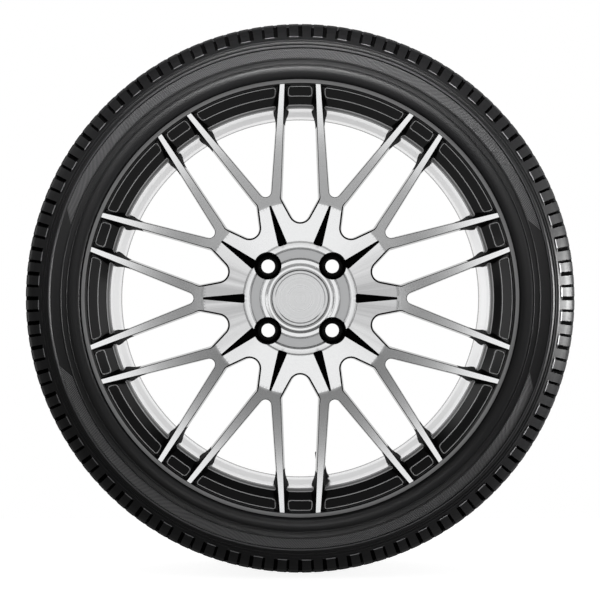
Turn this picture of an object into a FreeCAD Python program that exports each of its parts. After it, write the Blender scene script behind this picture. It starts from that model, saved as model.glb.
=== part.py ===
"""Car wheel: a tubeless tyre on a ten-spoke alloy wheel, with its centre cap and its air valve.

The wheel turns about Y. Its outer face looks along -Y, +X is to the right of it and +Z is up. Sizes in mm.
"""
import FreeCAD
import Part
import Sketcher
import os

V = FreeCAD.Vector
doc = FreeCAD.newDocument("car_wheel")
sheet = doc.addObject("Spreadsheet::Sheet", "Sizes")

SIZES = {
    # Rim, measured from the wheel's middle plane and from its axis
    "rim_half": 95.25,
    "rim_out": 107.25,
    "flange_r": 235.6,
    "flange_bend": 9.5,
    "flange_foot_r": 223.5,
    "foot_run": 5.0,
    "seat_r": 217.86,
    "seat_width": 16.0,
    "seat_fall": 1.4,
    "hump_rise": 1.1,
    "hump_width": 2.5,
    "hump_foot_rise": 1.0,
    "well_r": 203.5,
    "well_front": 50.0,
    "well_back": 12.0,
    "well_ramp": 14.0,
    "well_top_rise": 2.0,
    "barrel_r": 212.5,
    "rim_wall": 4.0,
    "lip_drop": 2.6,
    "lip_edge": 0.6,
    "lip_slope": 1.4,
    "shelf_a_r": 228.0,
    "shelf_a_depth": 4.0,
    "shelf_b_r": 219.0,
    "shelf_b_depth": 9.0,
    "shelf_c_r": 209.5,
    "shelf_c_depth": 16.0,
    "throat_r": 205.6,
    "throat_depth": 20.0,
    "throat_end": 62.0,
    "throat_end_r": 204.2,
    "rear_shelf_drop": 0.5,
    # Spoked disc, depths measured from the rim's outer edge
    "spokes": 10.0,
    "face_tip_r": 234.4,
    "face_tip_depth": 0.4,
    "face_radius": 386.0,
    "step_r": 105.0,
    "step_depth": 30.0,
    "tip_tuck": 3.0,
    "tip_tuck_depth": 1.0,
    "throat_tuck": 2.5,
    "hub_ring_r": 62.5,
    "hub_ring_depth": 31.5,
    "ring_floor_r": 56.0,
    "ring_floor_depth": 35.2,
    "ring_edge": 0.9,
    "ring_edge_rise": 1.6,
    "collar_r": 42.8,
    "collar_depth": 32.6,
    "collar_edge": 1.6,
    "collar_in_r": 35.4,
    "collar_slope": 2.6,
    "collar_foot_rise": 0.6,
    "cap_seat_r": 31.2,
    "cap_seat_depth": 39.2,
    "clip_bore_r": 28.0,
    "clip_edge": 49.3,
    "hub_bore_r": 33.55,
    "bore_chamfer": 0.8,
    "spigot": 13.0,
    "relief_r": 36.0,
    "pad_offset": 38.0,
    "pad_r": 75.0,
    "back_a_r": 98.0,
    "back_a": 47.0,
    "back_b_r": 132.0,
    "back_b": 56.0,
    "back_c_r": 207.0,
    "back_c": 68.0,
    # Windows between the spokes, slits and bolt holes
    "window_lead": 5.0,
    "fork_x": 120.2,
    "fork_half": 6.56,
    "fork_round": 7.1,
    "fork_out_x": 241.0,
    "fork_out_half": 56.3,
    "gap_x": 88.7,
    "gap_half": 9.9,
    "gap_round": 11.3,
    "gap_knee_x": 109.0,
    "gap_knee_half": 21.1,
    "gap_out_x": 242.0,
    "gap_out_half": 15.9,
    "slit_in_r": 66.0,
    "slit_half": 4.4,
    "slit_round": 4.5,
    "slit_tip_r": 105.0,
    "slit_tip_half": 0.5,
    "slit_depth": 6.0,
    "slit_lead": 1.0,
    "bolts": 4.0,
    "bolt_circle": 100.0,
    "bolt_hole_r": 7.5,
    "bolt_pocket_r": 14.2,
    "bolt_web": 15.0,
    "bolt_seat_r": 11.5,
    "bolt_cone": 6.93,
    # Tyre, places along the axis and the radius at each
    "crown_r": 301.9,
    "groove_depth": 8.0,
    "groove_half": 4.5,
    "groove_draft": 0.45,
    "groove_in": 20.0,
    "groove_out": 57.0,
    "tread_mid_r": 300.4,
    "tread_edge": 86.0,
    "tread_edge_r": 297.4,
    "shoulder": 92.5,
    "shoulder_r": 294.6,
    "buttress": 99.0,
    "buttress_r": 288.0,
    "slot_end": 103.6,
    "slot_end_r": 280.6,
    "rib_foot": 106.3,
    "rib_foot_r": 273.4,
    "rib": 108.4,
    "rib_top_r": 271.9,
    "rib_low_r": 270.0,
    "band": 107.4,
    "band_top_r": 269.2,
    "band_low_r": 252.0,
    "guard": 108.3,
    "guard_top_r": 246.5,
    "guard_foot": 108.0,
    "guard_low_r": 240.0,
    "bead_gap": 0.3,
    "toe": 75.2,
    "toe_r": 217.0,
    "bead_in": 79.0,
    "bead_in_r": 224.0,
    "liner_a": 86.0,
    "liner_a_r": 236.0,
    "liner_b": 96.5,
    "liner_b_r": 256.0,
    "liner_c": 94.0,
    "liner_c_r": 272.0,
    "liner_d": 80.0,
    "liner_d_r": 283.6,
    "liner_r": 287.2,
    "pitches": 68.0,
    "slot_width": 4.4,
    "slot_depth": 5.0,
    "slot_reach": 70.0,
    "sipe_width": 1.8,
    "sipe_depth": 3.2,
    # Centre cap and its spring ring
    "cap_gap": 0.3,
    "cap_fit": 0.4,
    "cap_rim": 4.4,
    "cap_bevel": 1.1,
    "cap_disc_r": 26.5,
    "cap_dish": 0.9,
    "cap_thick": 2.4,
    "clip_fit": 0.4,
    "clip_wall": 1.5,
    "barb_rise": 1.6,
    "barb_run": 2.6,
    "clip_tail": 2.0,
    "clip_slot": 5.0,
    "clip_count": 8.0,
    "ring_wire": 0.9,
    "ring_fit": 0.15,
    "ring_back": 3.4,
    # Air valve, distances from the wheel's axis
    "valve_turn": -187.2,
    "valve_y": 54.0,
    "boss_r": 11.0,
    "boss_in": 199.2,
    "boss_out": 204.6,
    "spot_r": 11.4,
    "spot_reach": 14.0,
    "valve_hole_r": 5.75,
    "stem_gap": 0.2,
    "bulb_r": 9.2,
    "bulb_edge": 1.5,
    "bulb_out": 209.2,
    "lip_r": 7.2,
    "lip_thick": 0.8,
    "lip_end": 193.4,
    "stem_r": 5.2,
    "stem_tip_r": 4.2,
    "stem_end": 183.0,
    "tube_r": 3.0,
    "thread_r": 3.85,
    "thread_edge": 0.5,
    "thread_start": 0.4,
    "thread_in": 172.6,
    "tube_out": 207.0,
    "tube_bore_r": 2.0,
    "core_fit": 0.2,
    "core_set": 0.8,
    "core_length": 14.6,
    "core_bore_r": 1.0,
    "pin_r": 0.65,
    "pin_proud": 0.5,
    "pin_head_r": 1.35,
    "pin_head": 1.6,
    "pin_gap": 0.4,
    "thread_gap": 0.3,
    "cap_wall": 1.1,
    "cap_edge": 0.77,
    "cap_clear": 1.2,
    "cap_top": 1.9,
    "seal_thick": 1.2,
}
for row, (alias, value) in enumerate(SIZES.items(), start=1):
    sheet.set(f"A{row}", alias)
    sheet.set(f"B{row}", str(value))
    sheet.setAlias(f"B{row}", alias)
doc.recompute()


def sized(text):
    """Put the sheet's name before every alias of a formula."""
    words = []
    word = ""
    for letter in text + " ":
        if letter.isalnum() or letter == "_":
            word += letter
            continue
        words.append("Sizes." + word if word in SIZES else word)
        words.append(letter)
        word = ""
    return "".join(words).strip()


def number(text):
    """Work out a formula of sheet aliases."""
    return float(sheet.evalExpression(sized(text)))


def new_body(label):
    """Add an empty body under the node's name."""
    body = doc.addObject("PartDesign::Body", label)
    body.Label = label
    return body


def plane_of(body, role):
    """Find one of the body's own origin planes or axes."""
    return [item for item in body.Origin.OriginFeatures if item.Role == role][0]


def sketch_on(body, name, role, lift="0", turn="0"):
    """Add a sketch on an origin plane, lifted along its normal and turned in it."""
    sketch = body.newObject("Sketcher::SketchObject", name)
    sketch.AttachmentSupport = [(plane_of(body, role), "")]
    sketch.MapMode = "FlatFace"
    sketch.AttachmentOffset = FreeCAD.Placement(V(0, 0, number(lift)), FreeCAD.Rotation(V(0, 0, 1), 0))
    sketch.setExpression("AttachmentOffset.Base.z", sized(lift))
    sketch.setExpression("AttachmentOffset.Rotation.Angle", sized(turn))
    return sketch


def hold(sketch, kind, *target):
    """Add one constraint driven by a formula, the last item of the target."""
    formula = target[-1]
    index = sketch.addConstraint(Sketcher.Constraint(kind, *target[:-1], number(formula)))
    sketch.setExpression(f"Constraints[{index}]", sized(formula))


def outline(sketch, points):
    """Draw a closed outline of lines and arcs through formula points.

    A point is (across, up) or (across, up, radius, side); the radius bends the edge that leaves the point,
    and side +1 or -1 says to which side of the edge the bend's centre lies.
    """
    spots = [V(number(p[0]), number(p[1]), 0) for p in points]
    edges = []
    for i, point in enumerate(points):
        start = spots[i]
        end = spots[(i + 1) % len(points)]
        if len(point) == 2:
            edges.append((sketch.addGeometry(Part.LineSegment(start, end)), 1, 2))
            continue
        radius = number(point[2])
        chord = end - start
        normal = V(-chord.y, chord.x, 0).normalize() * point[3]
        rise = (radius ** 2 - (chord.Length / 2) ** 2) ** 0.5
        centre = (start + end) * 0.5 + normal * rise
        middle = centre - normal * radius
        clockwise = (start - centre).cross(end - centre).z < 0
        arc = Part.Arc(end, middle, start) if clockwise else Part.Arc(start, middle, end)
        geo = sketch.addGeometry(arc)
        edges.append((geo, 2, 1) if clockwise else (geo, 1, 2))
        hold(sketch, "Radius", geo, point[2])
    for i, (geo, first, last) in enumerate(edges):
        after = edges[(i + 1) % len(edges)]
        sketch.addConstraint(Sketcher.Constraint("Coincident", geo, last, after[0], after[1]))
    for (geo, first, last), point in zip(edges, points):
        hold(sketch, "DistanceX", -1, 1, geo, first, point[0])
        hold(sketch, "DistanceY", -1, 1, geo, first, point[1])


def circle(sketch, across, up, radius):
    """Draw one circle whose centre and radius are formulas."""
    geo = sketch.addGeometry(Part.Circle(V(number(across), number(up), 0), V(0, 0, 1), number(radius)))
    hold(sketch, "DistanceX", -1, 1, geo, 3, across)
    hold(sketch, "DistanceY", -1, 1, geo, 3, up)
    hold(sketch, "Radius", geo, radius)


def turned(body, name, points, role="XY_Plane", axis="V_Axis", kind="Revolution"):
    """Turn an outline once round an axis of its own sketch."""
    sketch = sketch_on(body, name + "_section", role)
    outline(sketch, points)
    feature = body.newObject("PartDesign::" + kind, name)
    feature.Profile = sketch
    feature.ReferenceAxis = (sketch, [axis])
    feature.Angle = 360.0
    doc.recompute()
    return feature


def pocket(body, name, sketch, depth, both=False):
    """Cut a sketch into the body to a depth."""
    feature = body.newObject("PartDesign::Pocket", name)
    feature.Profile = sketch
    feature.setExpression("Length", sized(depth))
    if both:
        feature.Midplane = True
    doc.recompute()
    return feature


def around(body, name, features, count):
    """Repeat features evenly round the wheel's axis."""
    pattern = body.newObject("PartDesign::PolarPattern", name)
    pattern.Originals = features
    pattern.Axis = (plane_of(body, "Y_Axis"), [""])
    pattern.Angle = 360.0
    pattern.setExpression("Occurrences", sized(count))
    body.Tip = pattern
    doc.recompute()
    return pattern


# Tyre, one moulding with its main grooves and shoulder slots
tyre = new_body("tyre")
left = [
    ("toe_r", "-toe"),
    ("seat_r + bead_gap * 1.05", "-rim_half + foot_run + bead_gap * 0.4"),
    ("flange_foot_r + bead_gap * 0.4", "-rim_half + bead_gap"),
    ("flange_r - flange_bend", "-rim_half + bead_gap", "flange_bend + bead_gap", -1),
    ("flange_r + bead_gap", "-rim_half - flange_bend"),
    ("guard_low_r", "-guard_foot"),
    ("guard_top_r", "-guard"),
    ("band_low_r", "-band"),
    ("band_top_r", "-band"),
    ("rib_low_r", "-rib"),
    ("rib_top_r", "-rib"),
    ("rib_foot_r", "-rib_foot"),
    ("slot_end_r", "-slot_end"),
    ("buttress_r", "-buttress"),
    ("shoulder_r", "-shoulder"),
    ("tread_edge_r", "-tread_edge"),
]
crown = []
for side, groove in (("-", "groove_out"), ("-", "groove_in"), ("", "groove_in"), ("", "groove_out")):
    top = "tread_mid_r" if groove == "groove_out" else "crown_r"
    near = f"{side}{groove} - groove_half"
    far = f"{side}{groove} + groove_half"
    crown.append((top, near))
    crown.append((f"{top} - groove_depth", f"{near} + groove_draft"))
    crown.append((f"{top} - groove_depth", f"{far} - groove_draft"))
    crown.append((top, far))
right = [
    ("tread_edge_r", "tread_edge"),
    ("shoulder_r", "shoulder"),
    ("buttress_r", "buttress"),
    ("slot_end_r", "slot_end"),
    ("rib_foot_r", "rib_foot"),
    ("rib_top_r", "rib"),
    ("rib_low_r", "rib"),
    ("band_top_r", "band"),
    ("band_low_r", "band"),
    ("guard_top_r", "guard"),
    ("guard_low_r", "guard_foot"),
    ("flange_r + bead_gap", "rim_half + flange_bend", "flange_bend + bead_gap", -1),
    ("flange_r - flange_bend", "rim_half - bead_gap"),
    ("flange_foot_r + bead_gap * 0.4", "rim_half - bead_gap"),
    ("seat_r + bead_gap * 1.05", "rim_half - foot_run - bead_gap * 0.4"),
    ("toe_r", "toe"),
]
liner = [
    ("bead_in_r", "bead_in"),
    ("liner_a_r", "liner_a"),
    ("liner_b_r", "liner_b"),
    ("liner_c_r", "liner_c"),
    ("liner_d_r", "liner_d"),
    ("liner_r", "groove_out"),
    ("liner_r", "-groove_out"),
    ("liner_d_r", "-liner_d"),
    ("liner_c_r", "-liner_c"),
    ("liner_b_r", "-liner_b"),
    ("liner_a_r", "-liner_a"),
    ("bead_in_r", "-bead_in"),
]
turned(tyre, "carcass", left + crown + right + liner)


def shoulder_cut(name, depth, width, turn):
    """Cut one slot across both shoulders of the tyre, turned round the axis by a number of degrees."""
    sketch = sketch_on(tyre, name + "_section", "YZ_Plane")
    sketch.AttachmentOffset = FreeCAD.Placement(V(0, 0, 0), FreeCAD.Rotation(V(1, 0, 0), number(turn)))
    sketch.setExpression("AttachmentOffset.Rotation.Angle", sized(turn))
    for side in ("-1", "1"):
        outline(sketch, [
            (f"{side} * slot_end", "slot_end_r"),
            (f"{side} * (buttress - 0.6 * {depth})", f"buttress_r - 0.8 * {depth}"),
            (f"{side} * (shoulder - 0.4 * {depth})", f"shoulder_r - {depth}"),
            (f"{side} * slot_reach", f"tread_edge_r - {depth}"),
            (f"{side} * slot_reach", "crown_r + groove_depth"),
            (f"{side} * (rim_out + groove_depth)", "crown_r + groove_depth"),
            (f"{side} * (rim_out + groove_depth)", "slot_end_r"),
        ])
    return pocket(tyre, name, sketch, width, both=True)


slots = shoulder_cut("shoulder_slot", "slot_depth", "slot_width", "0")
around(tyre, "shoulder_slots", [slots], "pitches")
sipes = shoulder_cut("shoulder_sipe", "sipe_depth", "sipe_width", "180 / pitches")
around(tyre, "shoulder_sipes", [sipes], "pitches")

# Alloy wheel, one casting: spoked disc first, then the rim round it
wheel = new_body("alloy_wheel")
turned(wheel, "disc", [
    ("hub_bore_r + bore_chamfer", "-pad_offset"),
    ("hub_bore_r", "-pad_offset - bore_chamfer"),
    ("hub_bore_r", "-pad_offset - spigot"),
    ("relief_r", "-pad_offset - spigot"),
    ("relief_r", "-rim_out + clip_edge"),
    ("clip_bore_r", "-rim_out + clip_edge"),
    ("clip_bore_r", "-rim_out + cap_seat_depth"),
    ("cap_seat_r", "-rim_out + cap_seat_depth"),
    ("cap_seat_r", "-rim_out + ring_floor_depth"),
    ("collar_in_r", "-rim_out + ring_floor_depth - collar_foot_rise"),
    ("collar_in_r + collar_slope", "-rim_out + collar_depth"),
    ("collar_r - collar_edge", "-rim_out + collar_depth"),
    ("collar_r", "-rim_out + ring_floor_depth"),
    ("ring_floor_r", "-rim_out + ring_floor_depth"),
    ("ring_floor_r + ring_edge", "-rim_out + ring_floor_depth - ring_edge_rise"),
    ("hub_ring_r", "-rim_out + hub_ring_depth"),
    ("step_r", "-rim_out + step_depth", "face_radius", 1),
    ("face_tip_r", "-rim_out + face_tip_depth"),
    ("face_tip_r - lip_drop", "-rim_out + shelf_a_depth"),
    ("shelf_b_r + tip_tuck", "-rim_out + shelf_b_depth + tip_tuck_depth"),
    ("shelf_c_r + throat_tuck", "-rim_out + throat_depth"),
    ("back_c_r", "-back_c"),
    ("back_b_r", "-back_b"),
    ("back_a_r", "-back_a"),
    ("pad_r", "-pad_offset"),
])

fork = sketch_on(wheel, "fork_window_outline", "XZ_Plane", "rim_out + window_lead")
outline(fork, [
    ("fork_x", "-fork_half"),
    ("fork_out_x", "-fork_out_half"),
    ("fork_out_x", "fork_out_half"),
    ("fork_x", "fork_half", "fork_round", 1),
])
fork_cut = pocket(wheel, "fork_window", fork, "rim_out")
around(wheel, "fork_windows", [fork_cut], "spokes")

gap = sketch_on(wheel, "gap_window_outline", "XZ_Plane", "rim_out + window_lead", turn="180 / spokes")
outline(gap, [
    ("gap_x", "-gap_half"),
    ("gap_knee_x", "-gap_knee_half"),
    ("gap_out_x", "-gap_out_half"),
    ("gap_out_x", "gap_out_half"),
    ("gap_knee_x", "gap_knee_half"),
    ("gap_x", "gap_half", "gap_round", 1),
])
gap_cut = pocket(wheel, "gap_window", gap, "rim_out")
around(wheel, "gap_windows", [gap_cut], "spokes")

turned(wheel, "rim", [
    ("flange_r - lip_drop", "-rim_out"),
    ("flange_r - 0.2 * lip_drop", "-rim_out + 0.3 * lip_drop"),
    ("flange_r", "-rim_half - flange_bend", "flange_bend", 1),
    ("flange_r - flange_bend", "-rim_half"),
    ("flange_foot_r", "-rim_half"),
    ("seat_r", "-rim_half + foot_run"),
    ("seat_r - seat_fall", "-rim_half + foot_run + seat_width"),
    ("seat_r - seat_fall + hump_rise", "-rim_half + foot_run + seat_width + hump_width"),
    ("seat_r - seat_fall + hump_rise", "-rim_half + foot_run + seat_width + 2 * hump_width"),
    ("barrel_r + well_top_rise", "-well_front - well_ramp"),
    ("well_r", "-well_front"),
    ("well_r", "-well_back"),
    ("barrel_r", "well_back"),
    ("barrel_r + hump_foot_rise", "rim_half - foot_run - seat_width - 3 * hump_width"),
    ("seat_r - seat_fall + hump_rise", "rim_half - foot_run - seat_width - 2 * hump_width"),
    ("seat_r - seat_fall + hump_rise", "rim_half - foot_run - seat_width - hump_width"),
    ("seat_r - seat_fall", "rim_half - foot_run - seat_width"),
    ("seat_r", "rim_half - foot_run"),
    ("flange_foot_r", "rim_half"),
    ("flange_r - flange_bend", "rim_half", "flange_bend", 1),
    ("flange_r", "rim_half + flange_bend"),
    ("flange_r - 0.2 * lip_drop", "rim_out - 0.3 * lip_drop"),
    ("flange_r - lip_drop", "rim_out"),
    ("flange_r - flange_bend", "rim_out - rim_wall"),
    ("flange_r - 2 * flange_bend", "rim_half + rim_wall"),
    ("barrel_r - rear_shelf_drop", "rim_half - rim_wall"),
    ("barrel_r - 0.8 * rim_wall", "rim_half - foot_run - seat_width - 3 * hump_width"),
    ("barrel_r - rim_wall", "well_back + 0.5 * rim_wall"),
    ("well_r - rim_wall", "-well_back + 0.5 * rim_wall"),
    ("well_r - rim_wall", "-well_front + 0.5 * rim_wall"),
    ("throat_end_r", "-throat_end"),
    ("throat_r", "-rim_out + throat_depth"),
    ("shelf_c_r", "-rim_out + shelf_c_depth"),
    ("shelf_b_r", "-rim_out + shelf_b_depth"),
    ("shelf_a_r", "-rim_out + shelf_a_depth"),
    ("shelf_a_r + lip_slope", "-rim_out + lip_edge"),
])

slit = sketch_on(wheel, "slit_outline", "XZ_Plane", "rim_out - step_depth + slit_lead")
outline(slit, [
    ("slit_in_r", "-slit_half"),
    ("slit_tip_r", "-slit_tip_half"),
    ("slit_tip_r", "slit_tip_half"),
    ("slit_in_r", "slit_half", "slit_round", 1),
])
slit_cut = pocket(wheel, "slit", slit, "slit_depth + slit_lead")
around(wheel, "slits", [slit_cut], "spokes")

bolt = sketch_on(wheel, "bolt_hole_section", "XY_Plane", "bolt_circle / 2 * cos(45)")
bolt.setExpression("AttachmentOffset.Base.x", sized("bolt_circle / 2 * cos(45)"))
outline(bolt, [
    ("0", "-rim_out + step_depth - bolt_web"),
    ("bolt_pocket_r", "-rim_out + step_depth - bolt_web"),
    ("bolt_pocket_r", "-pad_offset - bolt_web"),
    ("bolt_seat_r", "-pad_offset - bolt_web"),
    ("bolt_hole_r", "-pad_offset - bolt_web + bolt_cone"),
    ("bolt_hole_r", "-pad_offset + bolt_web"),
    ("0", "-pad_offset + bolt_web"),
])
bolt_cut = wheel.newObject("PartDesign::Groove", "bolt_hole")
bolt_cut.Profile = bolt
bolt_cut.ReferenceAxis = (bolt, ["V_Axis"])
bolt_cut.Angle = 360.0
doc.recompute()
around(wheel, "bolt_holes", [bolt_cut], "bolts")


def radial_sketch(name, radius):
    """Add a sketch square to the valve's axis at a distance from the wheel's axis."""
    sketch = wheel.newObject("Sketcher::SketchObject", name)
    sketch.AttachmentSupport = [(plane_of(wheel, "XY_Plane"), "")]
    sketch.MapMode = "FlatFace"
    swing = FreeCAD.Rotation(V(0, 1, 0), number("valve_turn"))
    sketch.AttachmentOffset = FreeCAD.Placement(V(0, 0, 0), swing)
    sketch.setExpression("AttachmentOffset.Base.x", sized(f"({radius}) * sin(valve_turn)"))
    sketch.setExpression("AttachmentOffset.Base.y", sized("-valve_y"))
    sketch.setExpression("AttachmentOffset.Base.z", sized(f"({radius}) * cos(valve_turn)"))
    return sketch


boss = radial_sketch("valve_boss_outline", "boss_in")
circle(boss, "0", "0", "boss_r")
boss_pad = wheel.newObject("PartDesign::Pad", "valve_boss")
boss_pad.Profile = boss
boss_pad.setExpression("Length", sized("boss_out - boss_in + 0.5 * rim_wall"))
doc.recompute()
spot = radial_sketch("valve_spot_outline", "boss_out + spot_reach")
circle(spot, "0", "0", "spot_r")
pocket(wheel, "valve_spot", spot, "spot_reach")
bore = radial_sketch("valve_hole_outline", "boss_out + spot_reach")
circle(bore, "0", "0", "valve_hole_r")
pocket(wheel, "valve_hole", bore, "2 * spot_reach")

# Centre cap with its snap fingers
cap = new_body("centre_cap")
CAP_BACK = "-rim_out + cap_seat_depth - cap_gap"
CAP_FACE = CAP_BACK + " - cap_rim"
CAP_CLIP = "-rim_out + clip_edge + cap_gap"
CLIP_R = "clip_bore_r - clip_fit"
turned(cap, "cap_shell", [
    ("0", CAP_FACE + " + cap_dish"),
    ("cap_disc_r", CAP_FACE + " + cap_dish"),
    ("cap_disc_r + cap_bevel", CAP_FACE),
    ("cap_seat_r - cap_fit - cap_bevel", CAP_FACE),
    ("cap_seat_r - cap_fit", CAP_FACE + " + cap_bevel"),
    ("cap_seat_r - cap_fit", CAP_BACK),
    (CLIP_R, CAP_BACK),
    (CLIP_R, CAP_CLIP),
    (CLIP_R + " + barb_rise", CAP_CLIP + " + 0.4 * barb_run"),
    (CLIP_R + " - 0.5 * clip_wall", CAP_CLIP + " + barb_run + clip_tail"),
    (CLIP_R + " - clip_wall", CAP_CLIP + " + barb_run + clip_tail"),
    (CLIP_R + " - clip_wall", CAP_FACE + " + cap_dish + cap_thick"),
    ("0", CAP_FACE + " + cap_dish + cap_thick"),
])
notch = sketch_on(cap, "finger_slot_outline", "XZ_Plane", "rim_out - cap_seat_depth - cap_gap")
outline(notch, [
    (CLIP_R + " - 3 * clip_wall", "-0.5 * clip_slot"),
    (CLIP_R + " + 3 * clip_wall", "-0.5 * clip_slot"),
    (CLIP_R + " + 3 * clip_wall", "0.5 * clip_slot"),
    (CLIP_R + " - 3 * clip_wall", "0.5 * clip_slot"),
])
notch_cut = pocket(cap, "finger_slot", notch, "cap_seat_depth")
around(cap, "finger_slots", [notch_cut], "clip_count")

ring = doc.addObject("Part::Torus", "cap_spring")
ring.Label = "cap_spring"
ring.setExpression("Radius1", sized(CLIP_R + " - clip_wall - ring_wire - ring_fit"))
ring.setExpression("Radius2", sized("ring_wire"))
ring.Angle3 = 348.0
ring.Placement = FreeCAD.Placement(V(0, 0, 0), FreeCAD.Rotation(V(1, 0, 0), 90.0))
ring.setExpression("Placement.Base.y", sized("-rim_out + clip_edge + ring_back"))


def valve_piece(label, points):
    """Turn one piece of the valve round the valve's own axis and set it in the wheel."""
    body = new_body(label)
    turned(body, label + "_turn", points, role="XZ_Plane")
    swing = FreeCAD.Rotation(V(0, 1, 0), number("valve_turn"))
    body.Placement = FreeCAD.Placement(V(0, 0, 0), swing)
    body.setExpression("Placement.Base.y", sized("-valve_y"))
    return body


# Air valve behind one spoke: rubber body, brass tube, core, pin, cap and cap seal
valve_piece("valve_body", [
    ("tube_r + stem_gap", "bulb_out"),
    ("bulb_r - bulb_edge", "bulb_out"),
    ("bulb_r", "bulb_out - bulb_edge"),
    ("bulb_r", "boss_out + stem_gap"),
    ("valve_hole_r - stem_gap", "boss_out + stem_gap"),
    ("valve_hole_r - stem_gap", "boss_in - stem_gap"),
    ("lip_r", "boss_in - stem_gap"),
    ("lip_r", "boss_in - stem_gap - lip_thick"),
    ("stem_r", "lip_end"),
    ("stem_tip_r", "stem_end"),
    ("tube_r + stem_gap", "stem_end"),
])
valve_piece("valve_tube", [
    ("tube_bore_r", "tube_out"),
    ("tube_r", "tube_out"),
    ("tube_r", "stem_end - thread_start"),
    ("thread_r", "stem_end - thread_start"),
    ("thread_r", "thread_in + thread_edge"),
    ("thread_r - thread_edge", "thread_in"),
    ("tube_bore_r", "thread_in"),
])
CORE_IN = "thread_in + core_set"
CORE_OUT = CORE_IN + " + core_length"
CORE_R = "tube_bore_r - core_fit"
valve_piece("valve_core", [
    ("core_bore_r", CORE_OUT),
    (CORE_R, CORE_OUT),
    (CORE_R, CORE_IN),
    ("core_bore_r", CORE_IN),
])
valve_piece("valve_pin", [
    ("0", CORE_IN + " - pin_proud"),
    ("pin_r", CORE_IN + " - pin_proud"),
    ("pin_r", CORE_OUT + " + pin_gap"),
    ("pin_head_r", CORE_OUT + " + pin_gap"),
    ("pin_head_r", CORE_OUT + " + pin_gap + pin_head"),
    ("0", CORE_OUT + " + pin_gap + pin_head"),
])
SEAL_OUT = "thread_in - thread_gap"
SEAL_IN = SEAL_OUT + " - seal_thick"
CAP_FLOOR = SEAL_IN + " - stem_gap"
CAP_BORE = "thread_r + thread_gap"
valve_piece("valve_cap", [
    ("0", CAP_FLOOR + " - cap_top"),
    (CAP_BORE + " + cap_wall - cap_edge", CAP_FLOOR + " - cap_top"),
    (CAP_BORE + " + cap_wall", CAP_FLOOR + " - cap_top + cap_edge"),
    (CAP_BORE + " + cap_wall", "stem_end - cap_clear"),
    (CAP_BORE, "stem_end - cap_clear"),
    (CAP_BORE, CAP_FLOOR),
    ("0", CAP_FLOOR),
])
valve_piece("valve_seal", [
    ("0", SEAL_IN),
    ("thread_r", SEAL_IN),
    ("thread_r", SEAL_OUT),
    ("0", SEAL_OUT),
])
doc.recompute()

# Check every object, then write one file for each piece
for item in doc.Objects:
    if "Invalid" in item.State or "Error" in item.State:
        raise RuntimeError(f"{item.Label} did not build: {item.State}")
NODES = ("tyre", "alloy_wheel", "centre_cap", "cap_spring", "valve_body",
         "valve_tube", "valve_core", "valve_pin", "valve_cap", "valve_seal")
os.makedirs("parts", exist_ok=True)
for label in NODES:
    piece = doc.getObjectsByLabel(label)[0]
    shape = piece.Shape
    if shape.isNull() or not shape.isValid() or len(shape.Solids) != 1:
        raise RuntimeError(f"{label} is not one good solid")
    shape.exportStep(f"parts/{label}.step")
    print(label, round(shape.Volume / 1000.0, 2), "cm3", len(shape.Faces), "faces")
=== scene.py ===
"""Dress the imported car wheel: tyre, two-tone alloy wheel, centre cap and air valve, in a pale studio.

The wheel turns about Y, its spoke face looks along -Y and +Z is up. Sizes in the classes are millimetres;
the meshes are written in metres.
"""

import logging
import math
from dataclasses import dataclass
from enum import Enum, IntEnum

import bpy
import numpy as np
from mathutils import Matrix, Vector
from mathutils.geometry import delaunay_2d_cdt


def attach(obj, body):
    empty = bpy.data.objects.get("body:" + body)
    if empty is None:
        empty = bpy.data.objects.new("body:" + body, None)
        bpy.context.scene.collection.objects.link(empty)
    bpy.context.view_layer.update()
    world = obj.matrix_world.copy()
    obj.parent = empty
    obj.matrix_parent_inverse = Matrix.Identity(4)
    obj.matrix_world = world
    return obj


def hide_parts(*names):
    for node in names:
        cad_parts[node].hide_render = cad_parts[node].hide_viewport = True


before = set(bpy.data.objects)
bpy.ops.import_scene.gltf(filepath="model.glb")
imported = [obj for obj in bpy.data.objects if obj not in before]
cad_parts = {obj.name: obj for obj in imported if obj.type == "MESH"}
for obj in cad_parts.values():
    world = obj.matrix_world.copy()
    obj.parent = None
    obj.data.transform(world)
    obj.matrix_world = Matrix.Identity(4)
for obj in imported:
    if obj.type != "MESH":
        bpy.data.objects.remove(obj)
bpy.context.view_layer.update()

log = logging.getLogger("car_wheel")
MM = 0.001
FULL_TURN = 2.0 * math.pi
MIRROR = np.array([-1.0, 1.0])
CAP_BEVEL = 0.0003
SMALL_BEVEL = 0.00008
BEVEL_ANGLE = 30.0
CORNER_ROOM = 0.48
LEAST_LEAN = 0.5
TINY = 1e-12
WELD = 1e-5

Color = tuple[float, float, float]
Value = bpy.types.NodeSocket | float


class Slot(Enum):
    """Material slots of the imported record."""

    TYRE = "tyre_rubber"
    ALLOY = "wheel_alloy"
    PLASTIC = "valve_plastic"


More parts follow.
